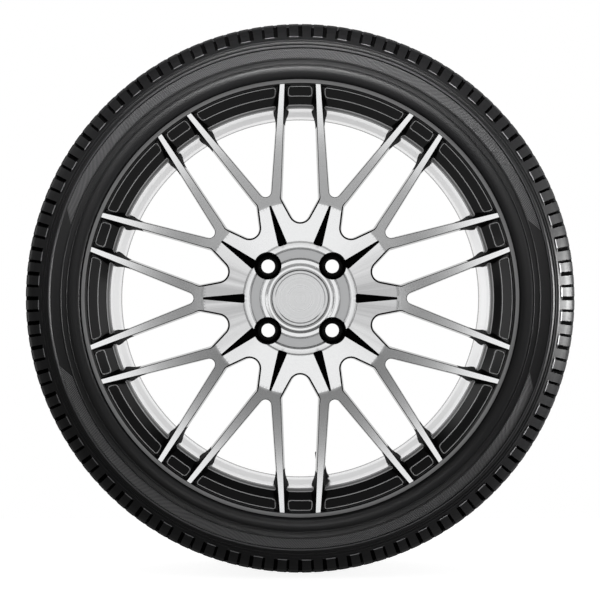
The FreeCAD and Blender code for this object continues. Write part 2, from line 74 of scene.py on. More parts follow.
class MeshDraft:
    """Points and faces of one piece, collected in millimetres."""

    def __init__(self) -> None:
        """Start with no points and no faces."""
        self.points: list[np.ndarray] = []
        self.faces: list[tuple[int, ...]] = []
        self.paints: list[int] = []
        self.count = 0

    def add(self, points: np.ndarray, faces: list[tuple[int, ...]], paint: int | list[int]) -> None:
        """Add a block of points with its own faces.

        Args:
            points: n by 3 array in millimetres.
            faces: Corner numbers within the block.
            paint: Material number for all faces, or one number for each.
        """
        base = self.count
        self.points.append(np.asarray(points, float))
        self.count += len(points)
        self.faces.extend(tuple(base + corner for corner in face) for face in faces)
        self.paints.extend([int(paint)] * len(faces) if isinstance(paint, int) else paint)

    def add_grid(self, grid: np.ndarray, paint: int | np.ndarray, wrap: bool = True) -> None:
        """Add a sheet of quads.

        Args:
            grid: rows by columns by 3 array in millimetres.
            paint: One material number, or an array of them that spreads over the quads.
            wrap: Join the last column to the first.
        """
        rows, columns = grid.shape[:2]
        last = columns if wrap else columns - 1
        faces = []
        for row in range(rows - 1):
            for column in range(last):
                after = (column + 1) % columns
                faces.append((row * columns + column, row * columns + after,
                              (row + 1) * columns + after, (row + 1) * columns + column))
        self.add(grid.reshape(-1, 3), faces, np.broadcast_to(paint, (rows - 1, last)).ravel().tolist())

    def build(self, name: str, materials: list[bpy.types.Material], sharp: float = 30.0) -> bpy.types.Object:
        """Make the object in the scene.

        Args:
            name: Name of the piece.
            materials: Materials in the order of the paint numbers.
            sharp: Edges that bend by more degrees than this stay crisp.

        Returns:
            The new object.
        """
        mesh = bpy.data.meshes.new(name)
        mesh.from_pydata((np.concatenate(self.points) * MM).tolist(), [], self.faces)
        for material in materials:
            mesh.materials.append(material)
        mesh.polygons.foreach_set("material_index", self.paints)
        mesh.polygons.foreach_set("use_smooth", [True] * len(mesh.polygons))
        mesh.validate()
        mesh.set_sharp_from_angle(angle=math.radians(sharp))
        piece = bpy.data.objects.new(name, mesh)
        bpy.context.scene.collection.objects.link(piece)
        return piece


def spin(angle: float) -> np.ndarray:
    """Give the matrix that turns flat points counter-clockwise."""
    return np.array([[math.cos(angle), -math.sin(angle)], [math.sin(angle), math.cos(angle)]])


def radii(flat: np.ndarray) -> np.ndarray:
    """Give the distances of flat points from the axis."""
    return np.linalg.norm(flat, axis=1)


def paired(flags: np.ndarray) -> np.ndarray:
    """Tell which rows of quads have both of their edges marked."""
    return flags[:-1] & flags[1:]


def rounded(corners: list[tuple[float, float, float]], closed: bool, step: float, bends: int = 8) -> np.ndarray:
    """Round the corners of a flat outline and divide its straight runs.

    Args:
        corners: (across, up, radius) of each corner.
        closed: Whether the last corner joins the first.
        step: Longest straight piece left whole.
        bends: Pieces in each rounded corner.

    Returns:
        n by 2 array of points.
    """
    spots = np.array([corner[:2] for corner in corners], float)
    count = len(spots)
    path: list[np.ndarray] = []
    for i, corner in enumerate(corners):
        here = spots[i]
        if corner[2] <= 0 or (not closed and i in (0, count - 1)):
            path.append(here)
            continue
        to_last = spots[i - 1] - here
        to_next = spots[(i + 1) % count] - here
        room = CORNER_ROOM * min(np.linalg.norm(to_last), np.linalg.norm(to_next))
        to_last /= np.linalg.norm(to_last)
        to_next /= np.linalg.norm(to_next)
        half = 0.5 * math.acos(float(np.clip(to_last @ to_next, -1.0, 1.0)))
        reach = min(corner[2] / math.tan(half), room)
        radius = reach * math.tan(half)
        inward = to_last + to_next
        centre = here + inward / np.linalg.norm(inward) * radius / math.sin(half)
        first = here + to_last * reach - centre
        turn = math.pi - 2.0 * half
        side = math.copysign(1.0, to_next[0] * to_last[1] - to_next[1] * to_last[0])
        for k in range(bends + 1):
            path.append(centre + spin(side * turn * k / bends) @ first)
    full: list[np.ndarray] = []
    for i, spot in enumerate(path):
        full.append(spot)
        if i == len(path) - 1 and not closed:
            break
        run = path[(i + 1) % len(path)] - spot
        pieces = int(np.linalg.norm(run) // step)
        full.extend(spot + run * k / (pieces + 1) for k in range(1, pieces + 1))
    return np.array(full)


def shifted(loop: np.ndarray, outward: float | np.ndarray) -> np.ndarray:
    """Move a closed counter-clockwise outline outwards, or inwards if negative.

    Args:
        loop: n by 2 array of points.
        outward: Distance, or one for each point.

    Returns:
        The moved outline.
    """
    back = loop - np.roll(loop, 1, axis=0)
    ahead = np.roll(loop, -1, axis=0) - loop
    back /= np.linalg.norm(back, axis=1, keepdims=True)
    ahead /= np.linalg.norm(ahead, axis=1, keepdims=True)
    tangent = back + ahead
    tangent /= np.linalg.norm(tangent, axis=1, keepdims=True)
    normal = np.stack([tangent[:, 1], -tangent[:, 0]], axis=1)
    lean = np.maximum(np.abs((back * tangent).sum(axis=1)), LEAST_LEAN)
    return loop + normal * (np.asarray(outward) / lean)[..., None]


def inside(points: np.ndarray, loop: np.ndarray) -> np.ndarray:
    """Tell which points lie inside a closed outline.

    Args:
        points: n by 2 array.
        loop: m by 2 array of the outline.

    Returns:
        n truth values.
    """
    result = np.zeros(len(points), bool)
    after = np.roll(loop, -1, axis=0)
    for (x0, y0), (x1, y1) in zip(loop, after):
        crosses = (y0 > points[:, 1]) != (y1 > points[:, 1])
        rise = y1 - y0 if abs(y1 - y0) > TINY else TINY
        result ^= crosses & (points[:, 0] < (x1 - x0) * (points[:, 1] - y0) / rise + x0)
    return result


def ring_points(radius: float, count: int, centre: tuple[float, float] = (0.0, 0.0)) -> np.ndarray:
    """Give evenly spaced points on a circle, counter-clockwise.

    Args:
        radius: Radius of the circle.
        count: Number of points.
        centre: Centre of the circle.

    Returns:
        count by 2 array.
    """
    angles = np.arange(count) * FULL_TURN / count
    return np.stack([centre[0] + radius * np.cos(angles), centre[1] + radius * np.sin(angles)], axis=1)


def revolved(profile: np.ndarray, count: int) -> np.ndarray:
    """Turn a profile of (along the axis, radius) pairs round the wheel's axis.

    Args:
        profile: n by 2 array.
        count: Columns round the wheel.

    Returns:
        n by count by 3 array of points.
    """
    angles = np.arange(count) * FULL_TURN / count
    grid = np.empty((len(profile), count, 3))
    grid[:, :, 0] = profile[:, 1:2] * np.cos(angles)
    grid[:, :, 1] = profile[:, 0:1]
    grid[:, :, 2] = profile[:, 1:2] * np.sin(angles)
    return grid


def sheet_between(outer: np.ndarray, holes: list[np.ndarray], guides: list[np.ndarray],
                  spare: np.ndarray) -> tuple[np.ndarray, list[tuple[int, ...]]]:
    """Fill a flat region with triangles.

    Args:
        outer: Closed outline of the region.
        holes: Closed outlines of the holes in it.
        guides: Further closed lines that edges must follow.
        spare: Loose inner points.

    Returns:
        The flat points and the triangles.
    """
    points: list[np.ndarray] = []
    edges: list[tuple[int, int]] = []
    base = 0
    for loop in [outer] + holes + guides:
        points.append(loop)
        edges.extend((base + i, base + (i + 1) % len(loop)) for i in range(len(loop)))
        base += len(loop)
    points.append(spare)
    flat = [Vector(point) for point in np.concatenate(points)]
    found = delaunay_2d_cdt(flat, edges, [], 0, WELD)
    spots = np.array([tuple(spot) for spot in found[0]])
    triangles = np.array(found[2])
    middles = spots[triangles].mean(axis=1)
    wanted = inside(middles, outer)
    for hole in holes:
        wanted &= ~inside(middles, hole)
    return spots, [tuple(int(c) for c in triangle) for triangle in triangles[wanted]]


class Shader:
    """A Principled material under construction."""

    def __init__(self, name: str, color: Color, roughness: float, metallic: float = 0.0, coat: float = 0.0) -> None:
        """Make the material with its plain values.

        Args:
            name: Material name.
            color: Base colour.
            roughness: Base roughness.
            metallic: 1 for bare metal.
            coat: Weight of the clear coat.
        """
        self.material = bpy.data.materials.new(name)
        self.material.use_nodes = True
        self.nodes = self.material.node_tree.nodes
        self.links = self.material.node_tree.links
        self.main = next(node for node in self.nodes if node.type == "BSDF_PRINCIPLED")
        self.set({"Base Color": (*color, 1.0), "Roughness": roughness, "Metallic": metallic, "Coat Weight": coat})

    def set(self, values: dict[str, float | tuple[float, ...]]) -> None:
        """Set plain values of the shader.

        Args:
            values: Input names with their values.
        """
        for socket, value in values.items():
            self.main.inputs[socket].default_value = value

    def effect(self, group: bpy.types.NodeTree, values: dict[str, float | tuple[float, ...]],
               *joined: str) -> bpy.types.Node:
        """Add a shared effect and let its outputs drive the shader.

        Args:
            group: Node group of the effect.
            values: Plain values of its inputs.
            joined: Outputs that drive the shader, out of Color and Roughness.

        Returns:
            The group's node.
        """
        node = self.nodes.new("ShaderNodeGroup")
        node.node_tree = group
        for socket, value in values.items():
            node.inputs[socket].default_value = value
        for output in joined:
            target = "Base Color" if output == "Color" else output
            self.links.new(node.outputs[output], self.main.inputs[target])
        return node

    def bump(self, node: bpy.types.Node, distance: float, strength: float) -> None:
        """Let an effect's height shape the surface.

        Args:
            node: Node of the effect.
            distance: Height of a full step in metres.
            strength: Strength of the bump.
        """
        bump = self.nodes.new("ShaderNodeBump")
        bump.inputs["Strength"].default_value = strength
        bump.inputs["Distance"].default_value = distance
        self.links.new(node.outputs["Height"], bump.inputs["Height"])
        self.links.new(bump.outputs["Normal"], self.main.inputs["Normal"])

    def brush(self, amount: float) -> None:
        """Stretch the highlights across the turning lines.

        Args:
            amount: Strength of the stretch.
        """
        self.set({"Anisotropic": amount, "Anisotropic Rotation": 0.25})
        tangent = self.nodes.new("ShaderNodeTangent")
        tangent.direction_type = "RADIAL"
        tangent.axis = "Y"
        self.links.new(tangent.outputs["Tangent"], self.main.inputs["Tangent"])


class GroupDraft:
    """A node group under construction."""

    def __init__(self, name: str, numbers: dict[str, float], greys: dict[str, float], outputs: tuple[str, ...]) -> None:
        """Make an empty group with named sockets.

        Args:
            name: Group name.
            numbers: Number inputs with their usual values.
            greys: Colour inputs with their usual grey levels.
            outputs: Output names; Color is a colour, the others are numbers.
        """
        self.tree = bpy.data.node_groups.new(name, "ShaderNodeTree")
        sockets = self.tree.interface
        for socket, value in numbers.items():
            sockets.new_socket(socket, in_out="INPUT", socket_type="NodeSocketFloat").default_value = value
        for socket, grey in greys.items():
            made = sockets.new_socket(socket, in_out="INPUT", socket_type="NodeSocketColor")
            made.default_value = (grey, grey, grey, 1.0)
        for socket in outputs:
            kind = "NodeSocketColor" if socket == "Color" else "NodeSocketFloat"
            sockets.new_socket(socket, in_out="OUTPUT", socket_type=kind)
        self.given = self.tree.nodes.new("NodeGroupInput").outputs
        self.result = self.tree.nodes.new("NodeGroupOutput").inputs

    def sum(self, operation: str, first: Value, second: Value | None = None) -> bpy.types.NodeSocket:
        """Add one sum.

        Args:
            operation: Kind of sum.
            first: Socket or number.
            second: Socket or number.

        Returns:
            The result's socket.
        """
        node = self.tree.nodes.new("ShaderNodeMath")
        node.operation = operation
        for place, value in enumerate((first, second)):
            if isinstance(value, (int, float)):
                node.inputs[place].default_value = value
            elif value is not None:
                self.tree.links.new(value, node.inputs[place])
        return node.outputs[0]

    def times(self, first: Value, second: Value) -> bpy.types.NodeSocket:
        """Multiply two sockets or numbers."""
        return self.sum("MULTIPLY", first, second)

    def place(self) -> bpy.types.NodeSocket:
        """Give the place on the object."""
        return self.tree.nodes.new("ShaderNodeTexCoord").outputs["Object"]

    def polar(self) -> tuple[bpy.types.NodeSocket, bpy.types.NodeSocket]:
        """Add the radius and the angle round the wheel's axis.

        Returns:
            Sockets of the radius in metres and the angle in radians.
        """
        split = self.tree.nodes.new("ShaderNodeSeparateXYZ")
        self.tree.links.new(self.place(), split.inputs[0])
        across, up = split.outputs["X"], split.outputs["Z"]
        radius = self.sum("SQRT", self.sum("ADD", self.times(across, across), self.times(up, up)))
        return radius, self.sum("ARCTAN2", up, across)

    def noise(self, place: bpy.types.NodeSocket, scale: Value, detail: float, line: bool) -> bpy.types.NodeSocket:
        """Add a noise.

        Args:
            place: Where the noise is read.
            scale: Socket or number of its scale.
            detail: Its finer layers.
            line: Whether it runs along one number instead of in space.

        Returns:
            The noise's socket.
        """
        node = self.tree.nodes.new("ShaderNodeTexNoise")
        node.noise_dimensions = "1D" if line else "3D"
        node.inputs["Detail"].default_value = detail
        self.tree.links.new(place, node.inputs["W" if line else "Vector"])
        if isinstance(scale, float):
            node.inputs["Scale"].default_value = scale
        else:
            self.tree.links.new(scale, node.inputs["Scale"])
        return node.outputs["Fac"]

    def tint(self, share: bpy.types.NodeSocket, second: str) -> None:
        """Mix the group's Color with another of its colours and put it out.

        Args:
            share: Share of the second colour.
            second: Input name of the second colour.
        """
        mix = self.tree.nodes.new("ShaderNodeMix")
        mix.data_type = "RGBA"
        self.tree.links.new(share, mix.inputs["Factor"])
        self.tree.links.new(self.given["Color"], mix.inputs["A"])
        self.tree.links.new(self.given[second], mix.inputs["B"])
        self.put("Color", mix.outputs["Result"])

    def vary(self, noise: bpy.types.NodeSocket) -> None:
        """Put out the given roughness, varied by a noise."""
        around = self.times(self.sum("SUBTRACT", noise, 0.5), self.given["Spread"])
        self.put("Roughness", self.sum("ADD", self.given["Roughness"], around))

    def put(self, output: str, socket: bpy.types.NodeSocket) -> None:
        """Join a socket to one of the group's outputs."""
        self.tree.links.new(socket, self.result[output])


class Effects:
    """Shared effects as node groups."""

    # Radii, fan and scale of the darker painted reflection rays on the hub face
    PAINTED_RAY_BAND = (0.0618, 0.105)
    FAN_POWER = 7.0
    RAY_SCALE = 9.0
    BLOTCH_SCALE = 14.0
    RIB_FOOT = 0.26
    RIB_LEAN = 6.0
    ARC_LIMIT = 0.8
    GRAIN_SHARE = 0.12

    def __init__(self) -> None:
        """Make every group once."""
        self.turned = self._turned()
        self.grain = self._grain()
        self.sidewall = self._sidewall()

    def _turned(self) -> bpy.types.NodeTree:
        """Make fine turning lines round the wheel's axis, with a darker painted reflection in rays to both sides of the
        hub.

        Returns:
            The group.
        """
        group = GroupDraft("turning_lines", {"Pitch": 0.0006, "Roughness": 0.25, "Spread": 0.1, "Streaks": 0.0},
                           {"Color": 0.8, "Painted Reflection Color": 0.5}, ("Color", "Height", "Roughness"))
        radius, angle = group.polar()
        lines = group.noise(group.sum("DIVIDE", radius, group.given["Pitch"]), 1.0, 3.0, True)
        group.put("Height", lines)
        group.vary(lines)
        # painted reflection: darker radial rays on the hub face, fanned to its left and right sides
        fan = group.sum("POWER", group.sum("ABSOLUTE", group.sum("COSINE", angle)), self.FAN_POWER)
        low, high = self.PAINTED_RAY_BAND
        hub = group.times(group.sum("LESS_THAN", radius, high), group.sum("GREATER_THAN", radius, low))
        painted_rays = group.times(group.times(fan, hub), group.noise(angle, self.RAY_SCALE, 4.0, True))
        group.tint(group.times(painted_rays, group.given["Streaks"]), "Painted Reflection Color")
        return group.tree

    def _grain(self) -> bpy.types.NodeTree:
        """Make a fine even grain with soft blotches of tone.

        Returns:
            The group.
        """
        group = GroupDraft("fine_grain", {"Scale": 900.0, "Roughness": 0.5, "Spread": 0.12},
                           {"Color": 0.03, "Worn Color": 0.05}, ("Color", "Height", "Roughness"))
        group.put("Height", group.noise(group.place(), group.given["Scale"], 2.0, False))
        blotch = group.noise(group.place(), self.BLOTCH_SCALE, 5.0, False)
        group.tint(blotch, "Worn Color")
        group.vary(blotch)
        return group.tree

    def _sidewall(self) -> bpy.types.NodeTree:
        """Make the moulded lines of a sidewall: a band of short slanted ribs in two arcs with a painted highlight on
        their crests, and a grain.

        Returns:
            The group.
        """
        group = GroupDraft("sidewall_lines", {"Band Low": 0.2585, "Band High": 0.2682, "Ribs": 620.0, "Grain": 700.0},
                           {"Color": 0.004, "Rib Highlight Color": 0.03}, ("Color", "Height"))
        given = group.given
        radius, angle = group.polar()
        ring = group.times(group.sum("GREATER_THAN", radius, given["Band Low"]),
                           group.sum("LESS_THAN", radius, given["Band High"]))
        lean = group.times(group.sum("SUBTRACT", radius, self.RIB_FOOT), self.RIB_LEAN)
        slanted = group.sum("ADD", angle, lean)
        arcs = group.sum("LESS_THAN", group.sum("COSINE", group.times(slanted, 2.0)), self.ARC_LIMIT)
        wave = group.sum("SINE", group.times(slanted, given["Ribs"]))
        ribs = group.times(group.sum("ADD", group.times(wave, 0.5), 0.5), group.times(ring, arcs))
        grain = group.times(group.noise(group.place(), given["Grain"], 2.0, False), self.GRAIN_SHARE)
        group.put("Height", group.sum("ADD", ribs, grain))
        # painted highlight: the rib crests are tinted lighter
        group.tint(ribs, "Rib Highlight Color")
        return group.tree


@dataclass(frozen=True)
class TurnedMetal:
    """Metal with fine turning lines round the wheel's axis."""

    name: str
    color: Color
    roughness: float
    pitch: float
    spread: float
    height: float
    strength: float
    metallic: float = 1.0
    coat: float = 0.0
    coat_roughness: float = 0.03
    brushed: float = 0.0
    # strength and colour of the darker painted reflection rays on the hub face
    painted_reflection: float = 0.0
    painted_reflection_color: Color = (0.5, 0.5, 0.505)

    def build(self, effects: Effects) -> bpy.types.Material:
        """Make the material.

        Args:
            effects: The shared effects.

        Returns:
            The material.
        """
        shader = Shader(self.name, self.color, self.roughness, self.metallic, self.coat)
        shader.set({"Coat Roughness": self.coat_roughness})
        values = {"Pitch": self.pitch, "Roughness": self.roughness, "Spread": self.spread, "Streaks": self.painted_reflection,
                  "Color": (*self.color, 1.0), "Painted Reflection Color": (*self.painted_reflection_color, 1.0)}
        joined = ("Roughness", "Color") if self.painted_reflection else ("Roughness",)
        shader.bump(shader.effect(effects.turned, values, *joined), self.height, self.strength)
        if self.brushed:
            shader.brush(self.brushed)
        return shader.material


@dataclass(frozen=True)
class GrainedCoat:
    """Paint, rubber, plastic or small metal with a fine even grain."""

    name: str
    color: Color
    roughness: float
    metallic: float = 0.0
    shine: float = 0.5
    worn: Color | None = None
    scale: float = 1200.0
    spread: float = 0.15
    height: float = 0.0001
    strength: float = 0.3

    def build(self, effects: Effects) -> bpy.types.Material:
        """Make the material.

        Args:
            effects: The shared effects.

        Returns:
            The material.
        """
        shader = Shader(self.name, self.color, self.roughness, self.metallic)
        shader.set({"Specular IOR Level": self.shine})
        worn = self.worn or tuple(min(1.0, 1.4 * part) for part in self.color)
        grain = shader.effect(effects.grain, {"Scale": self.scale, "Roughness": self.roughness, "Spread": self.spread,
                                              "Color": (*self.color, 1.0), "Worn Color": (*worn, 1.0)},
                              "Color", "Roughness")
        shader.bump(grain, self.height, self.strength)
        return shader.material


@dataclass(frozen=True)
class MouldedRubber:
    """Tyre rubber with the moulded lines of a sidewall and a painted highlight on the crests of its ribs."""

    name: str
    color: Color
    # colour of the painted highlight on the rib crests
    rib_highlight_color: Color
    roughness: float = 0.38
    shine: float = 0.11
    spread: float = 0.16
    height: float = 0.0005
    strength: float = 0.6

    def build(self, effects: Effects) -> bpy.types.Material:
        """Make the material.

        Args:
            effects: The shared effects.

        Returns:
            The material.
        """
        shader = Shader(self.name, self.color, self.roughness)
        shader.set({"Specular IOR Level": self.shine})
        shader.effect(effects.grain, {"Roughness": self.roughness, "Spread": self.spread}, "Roughness")
        lines = shader.effect(effects.sidewall, {"Color": (*self.color, 1.0), "Rib Highlight Color": (*self.rib_highlight_color, 1.0)},
                              "Color")
        shader.bump(lines, self.height, self.strength)
        return shader.material


class Finishes:
    """All materials of the wheel."""

    def __init__(self, effects: Effects) -> None:
        """Make the materials.

        Args:
            effects: The shared effects.
        """
        # the machined face carries a darker painted reflection in rays to both sides of the hub
        self.machined = TurnedMetal("machined_face", (0.88, 0.885, 0.89), 0.22, pitch=0.0005, spread=0.14,
                                    height=0.00004, strength=0.35, coat=0.1, coat_roughness=0.05, brushed=0.5,
                                    painted_reflection=2.0).build(effects)
        self.satin = TurnedMetal("satin_ring", (0.54, 0.545, 0.55), 0.34, pitch=0.0008, spread=0.16,
                                 height=0.00006, strength=0.4).build(effects)
        self.barrel = TurnedMetal("silver_barrel", (0.92, 0.92, 0.925), 0.3, pitch=0.002, spread=0.1,
                                  height=0.00003, strength=0.2, metallic=0.9, coat=0.15).build(effects)
        self.cap = TurnedMetal("cap_silver_finish", (0.76, 0.765, 0.77), 0.3, pitch=0.0009, spread=0.2,
                               height=0.00006, strength=0.5, coat=0.2, brushed=0.6).build(effects)
        self.black = GrainedCoat("gloss_black", (0.003, 0.003, 0.0034), 0.14, shine=0.35, worn=(0.005, 0.005, 0.0055),
                                 scale=260.0, spread=0.08, height=0.00002, strength=0.12).build(effects)
        # Light grey: painted highlight on the rounded edges of the rim's panels and beads
        self.edge = GrainedCoat("painted_edge_highlight", (0.6, 0.6, 0.605), 0.2).build(effects)
        # Mid grey: the front lip's colour, also painted highlight on the bead tops and painted shade in the throat
        self.lip = GrainedCoat("rim_lip", (0.21, 0.21, 0.212), 0.25).build(effects)
        # Flat non-reflecting black: black paint with painted shade, in the bolt pockets and slits, on the spoke bevels
        # and at the spoke feet
        self.shade_black = GrainedCoat("recess_shade_black", (0.002, 0.002, 0.002), 0.6, shine=0.02).build(effects)
        self.tyre = MouldedRubber("tyre_rubber_finish", (0.004, 0.004, 0.0042), (0.055, 0.055, 0.056)).build(effects)
        # Near-black matte rubber: painted shade in the slots, sipes and main grooves
        self.groove_shade = GrainedCoat("groove_shade_rubber", (0.0012, 0.0012, 0.0012), 0.8, shine=0.0).build(effects)
        self.tread = GrainedCoat("tread_rubber", (0.009, 0.009, 0.0095), 0.78, shine=0.08).build(effects)
        # Lighter rubber: painted highlight on the front sidewall rib
        self.rib_highlight = GrainedCoat("rib_highlight_rubber", (0.018, 0.018, 0.019), 0.4, shine=0.08).build(effects)
        # Lighter grey rubber: painted highlight on the raised lines under the shoulder blocks
        self.ridge_highlight = GrainedCoat("ridge_highlight_rubber", (0.06, 0.06, 0.062), 0.4).build(effects)
        self.rubber = GrainedCoat("valve_rubber_finish", (0.022, 0.022, 0.023), 0.55).build(effects)
        self.plastic = GrainedCoat("valve_plastic_finish", (0.018, 0.018, 0.019), 0.4).build(effects)
        self.brass = GrainedCoat("brass_finish", (0.72, 0.58, 0.30), 0.3, metallic=1.0).build(effects)
        self.steel = GrainedCoat("spring_finish", (0.52, 0.52, 0.54), 0.3, metallic=1.0).build(effects)


def settle(piece: bpy.types.Object, body: str, slot: Slot, *nodes: str) -> None:
    """Fix a new piece to a body and let it stand for CAD nodes.

    Args:
        piece: The new piece.
        body: Body that carries it.
        slot: Material slot of the record; not used.
        nodes: CAD nodes that it replaces.
    """
    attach(piece, body)
    if nodes:
        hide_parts(*nodes)
    log.info("%s: %d faces", piece.name, len(piece.data.polygons))


class DiscPaint(IntEnum):
    """Materials of the spoked disc, in the order of its slots."""

    FACE = 0
    BLACK = 1
    SATIN = 2
    # flat black as painted shade
    SHADE_BLACK = 3


@dataclass(frozen=True)
class SpokedDisc:
    """The face of the casting: hub, ten forked spokes and their flanks."""

    spokes: int = 10
    out: float = 107.25
    tip_r: float = 234.4
    tip_depth: float = 0.4
    tip_round: float = 0.8
    face_radius: float = 386.0
    face_end: float = 240.0
    step_r: float = 105.0
    step_depth: float = 30.0
    fork_apex: float = 104.3
    fork_round: float = 7.1
    fork_slope: float = 0.4117
    gap_apex: float = 70.9
    gap_round: float = 11.3
    knee: tuple[float, float] = (109.0, 21.1)
    knee_round: float = 5.0
    gap_out: tuple[float, float] = (242.0, 15.9)
    bevel: float = 0.8
    edge_run: tuple[float, float] = (104.0, 118.0)
    hub_edge: float = 1.8
    arm_edge: float = 0.5
    draft: float = 1.5
    rear_edge: float = 1.0
    foot: float = 3.4
    foot_start: float = 189.0
    foot_rise: float = 13.0
    foot_end: float = 226.0
    foot_fall: float = 12.0
    # beyond this radius the spoke flanks take the painted shade black
    shade_foot_r: float = 188.0
    cap_seat_r: float = 31.2
    bolt_circle_r: float = 50.0
    bolt_pocket_r: float = 14.2
    bolt_pocket_round: float = 1.0
    bolt_seat_r: float = 11.5
    bolt_hole_r: float = 7.5
    bolt_floor: float = -53.0
    bolt_cone: float = 6.93
    bolt_columns: int = 64
    hub_columns: int = 192
    pad: float = -38.0
    pad_columns: int = 180
    hub_bore_r: float = 33.55
    bore_edge: float = 0.8
    bore_columns: int = 128
    slit_in_r: float = 61.2
    slit_half: float = 4.4
    slit_tip_r: float = 105.0
    slit_tip_half: float = 0.5
    slit_round: tuple[float, float] = (1.2, 0.3)
    slit_depth: float = 6.0
    slit_floor: float = 0.3
    slit_fade: float = 25.0
    slit_least: float = 0.15
    slit_step: float = 2.5
    spacing: float = 3.4
    front_loose: tuple[float, float] = (64.0, 2.2)
    rear_loose: tuple[float, float] = (38.0, 1.5)
    ring_floor: tuple[float, float] = (44.0, 53.8)
    star_step: float = 3.0
    star_bends: int = 10
    sharp: float = 34.0

    RINGS = ((31.2, 35.4), (32.2, 35.2), (32.9, 34.9), (33.2, 34.9), (35.0, 34.9), (35.3, 34.85), (35.9, 34.5),
             (37.0, 33.3), (37.8, 32.7), (38.4, 32.5), (38.8, 32.5), (41.6, 32.5), (42.0, 32.5), (42.6, 32.8),
             (43.1, 33.5), (43.5, 34.4), (43.8, 35.0), (44.4, 35.2), (44.8, 35.2), (53.0, 35.2), (53.4, 35.2),
             (53.9, 34.9), (54.2, 34.2), (54.5, 33.4), (54.9, 32.8), (55.5, 32.45), (55.9, 32.4), (60.4, 32.2),
             (60.8, 32.1), (61.4, 31.8), (62.0, 31.55), (62.6, 31.45), (63.4, 31.4), (105.0, 30.0))
    BACK = ((33.0, -38.0), (75.0, -38.0), (98.0, -47.0), (132.0, -56.0), (207.0, -68.0), (209.0, -88.0),
            (219.0, -95.4), (228.0, -100.0), (231.0, -103.0), (236.0, -103.0))
    BORE = ((-72.05, 31.2), (-68.25, 31.2), (-68.05, 31.0), (-68.05, 28.2), (-67.85, 28.0), (-58.15, 28.0),
            (-57.95, 28.2), (-57.95, 36.0), (-51.0, 36.0), (-51.0, 33.55), (-38.8, 33.55), (-38.0, 34.35))

    def face(self, radius: np.ndarray) -> np.ndarray:
        """Give the place of the front face along the axis.

        Args:
            radius: Distances from the axis.

        Returns:
            Places along Y.
        """
        near = np.array([self.step_r, self.step_depth - self.out])
        far = np.array([self.tip_r, self.tip_depth - self.out])
        chord = far - near
        length = np.linalg.norm(chord)
        normal = np.array([-chord[1], chord[0]]) / length
        centre = 0.5 * (near + far) + normal * math.sqrt(self.face_radius ** 2 - 0.25 * length ** 2)
        bowl = centre[1] - np.sqrt(self.face_radius ** 2 - (np.minimum(radius, self.face_end) - centre[0]) ** 2)
        rings = np.array(self.RINGS)
        hub = np.interp(radius, rings[:, 0], rings[:, 1]) - self.out
        return np.where(radius > self.step_r, bowl, hub)

    def back(self, radius: np.ndarray) -> np.ndarray:
        """Give the place of the back along the axis.

        Args:
            radius: Distances from the axis.

        Returns:
            Places along Y.
        """
        table = np.array(self.BACK)
        return np.interp(radius, table[:, 0], table[:, 1])

    @staticmethod
    def _reach(start: np.ndarray, ahead: np.ndarray, radius: float) -> np.ndarray:
        """Run a spoke's edge out to a circle round the axis.

        Args:
            start: A point of the edge.
            ahead: Another point further out.
            radius: Radius of the circle.

        Returns:
            The point on the circle.
        """
        run = (ahead - start) / np.linalg.norm(ahead - start)
        along = start @ run
        return start + run * (-along + math.sqrt(along ** 2 - start @ start + radius ** 2))

    def edge_angle(self, radius: float, fork: bool) -> float:
        """Give the angle from the middle of a window to the spoke beside it.

        Args:
            radius: Distance from the axis.
            fork: Whether the window lies inside a fork.

        Returns:
            The angle in radians.
        """
        start = np.array([self.fork_apex, 0.0]) if fork else np.array(self.knee)
        ahead = start + np.array([1.0, self.fork_slope]) if fork else np.array(self.gap_out)
        spot = self._reach(start, ahead, radius)
        return math.atan2(spot[1], spot[0])

    def star(self) -> np.ndarray:
        """Draw the outline of the hub and its spokes, counter-clockwise.

        Returns:
            n by 2 array of (x, z).
        """
        flip = np.array([1.0, -1.0])
        half = spin(math.pi / self.spokes)
        knee = half @ (np.array(self.knee) * flip)
        gap_tip = self._reach(knee, half @ (np.array(self.gap_out) * flip), self.tip_r)
        apex = np.array([self.fork_apex, 0.0])
        fork_tip = self._reach(apex, apex + np.array([1.0, self.fork_slope]), self.tip_r)
        valley = half @ np.array([self.gap_apex, 0.0])
        one = [(valley * flip, self.gap_round), (knee * flip, self.knee_round), (gap_tip * flip, self.tip_round),
               (fork_tip * flip, self.tip_round), (apex, self.fork_round), (fork_tip, self.tip_round),
               (gap_tip, self.tip_round), (knee, self.knee_round)]
        corners = []
        for spoke in range(self.spokes):
            turn = spin(spoke * FULL_TURN / self.spokes)
            corners += [(*(turn @ spot), radius) for spot, radius in one]
        return rounded(corners, True, self.star_step, self.star_bends)

    def _face_edge(self, star: np.ndarray) -> np.ndarray:
        """Draw the edge of the machined face, inside the outline of the spokes.

        Args:
            star: Outline of the spokes.

        Returns:
            n by 2 array of (x, z).
        """
        return shifted(star, -np.interp(radii(star), self.edge_run, (self.hub_edge, self.arm_edge)))

    def _flare(self, star: np.ndarray) -> np.ndarray:
        """Give how far the flanks spread towards the back, with a wider foot at the rim.

        Args:
            star: Outline of the spokes.

        Returns:
            One distance for each point.
        """
        radius = radii(star)
        rise = np.clip((radius - self.foot_start) / self.foot_rise, 0.0, 1.0)
        fall = np.clip((self.foot_end - radius) / self.foot_fall, 0.0, 1.0)
        return self.draft + self.foot * (rise ** 2 * fall)

    def bolt_centres(self) -> list[tuple[float, float]]:
        """Give the centres of the four bolt holes.

        Returns:
            (x, z) of each hole.
        """
        angles = [math.pi / 4 + k * math.pi / 2 for k in range(4)]
        return [(self.bolt_circle_r * math.cos(a), self.bolt_circle_r * math.sin(a)) for a in angles]

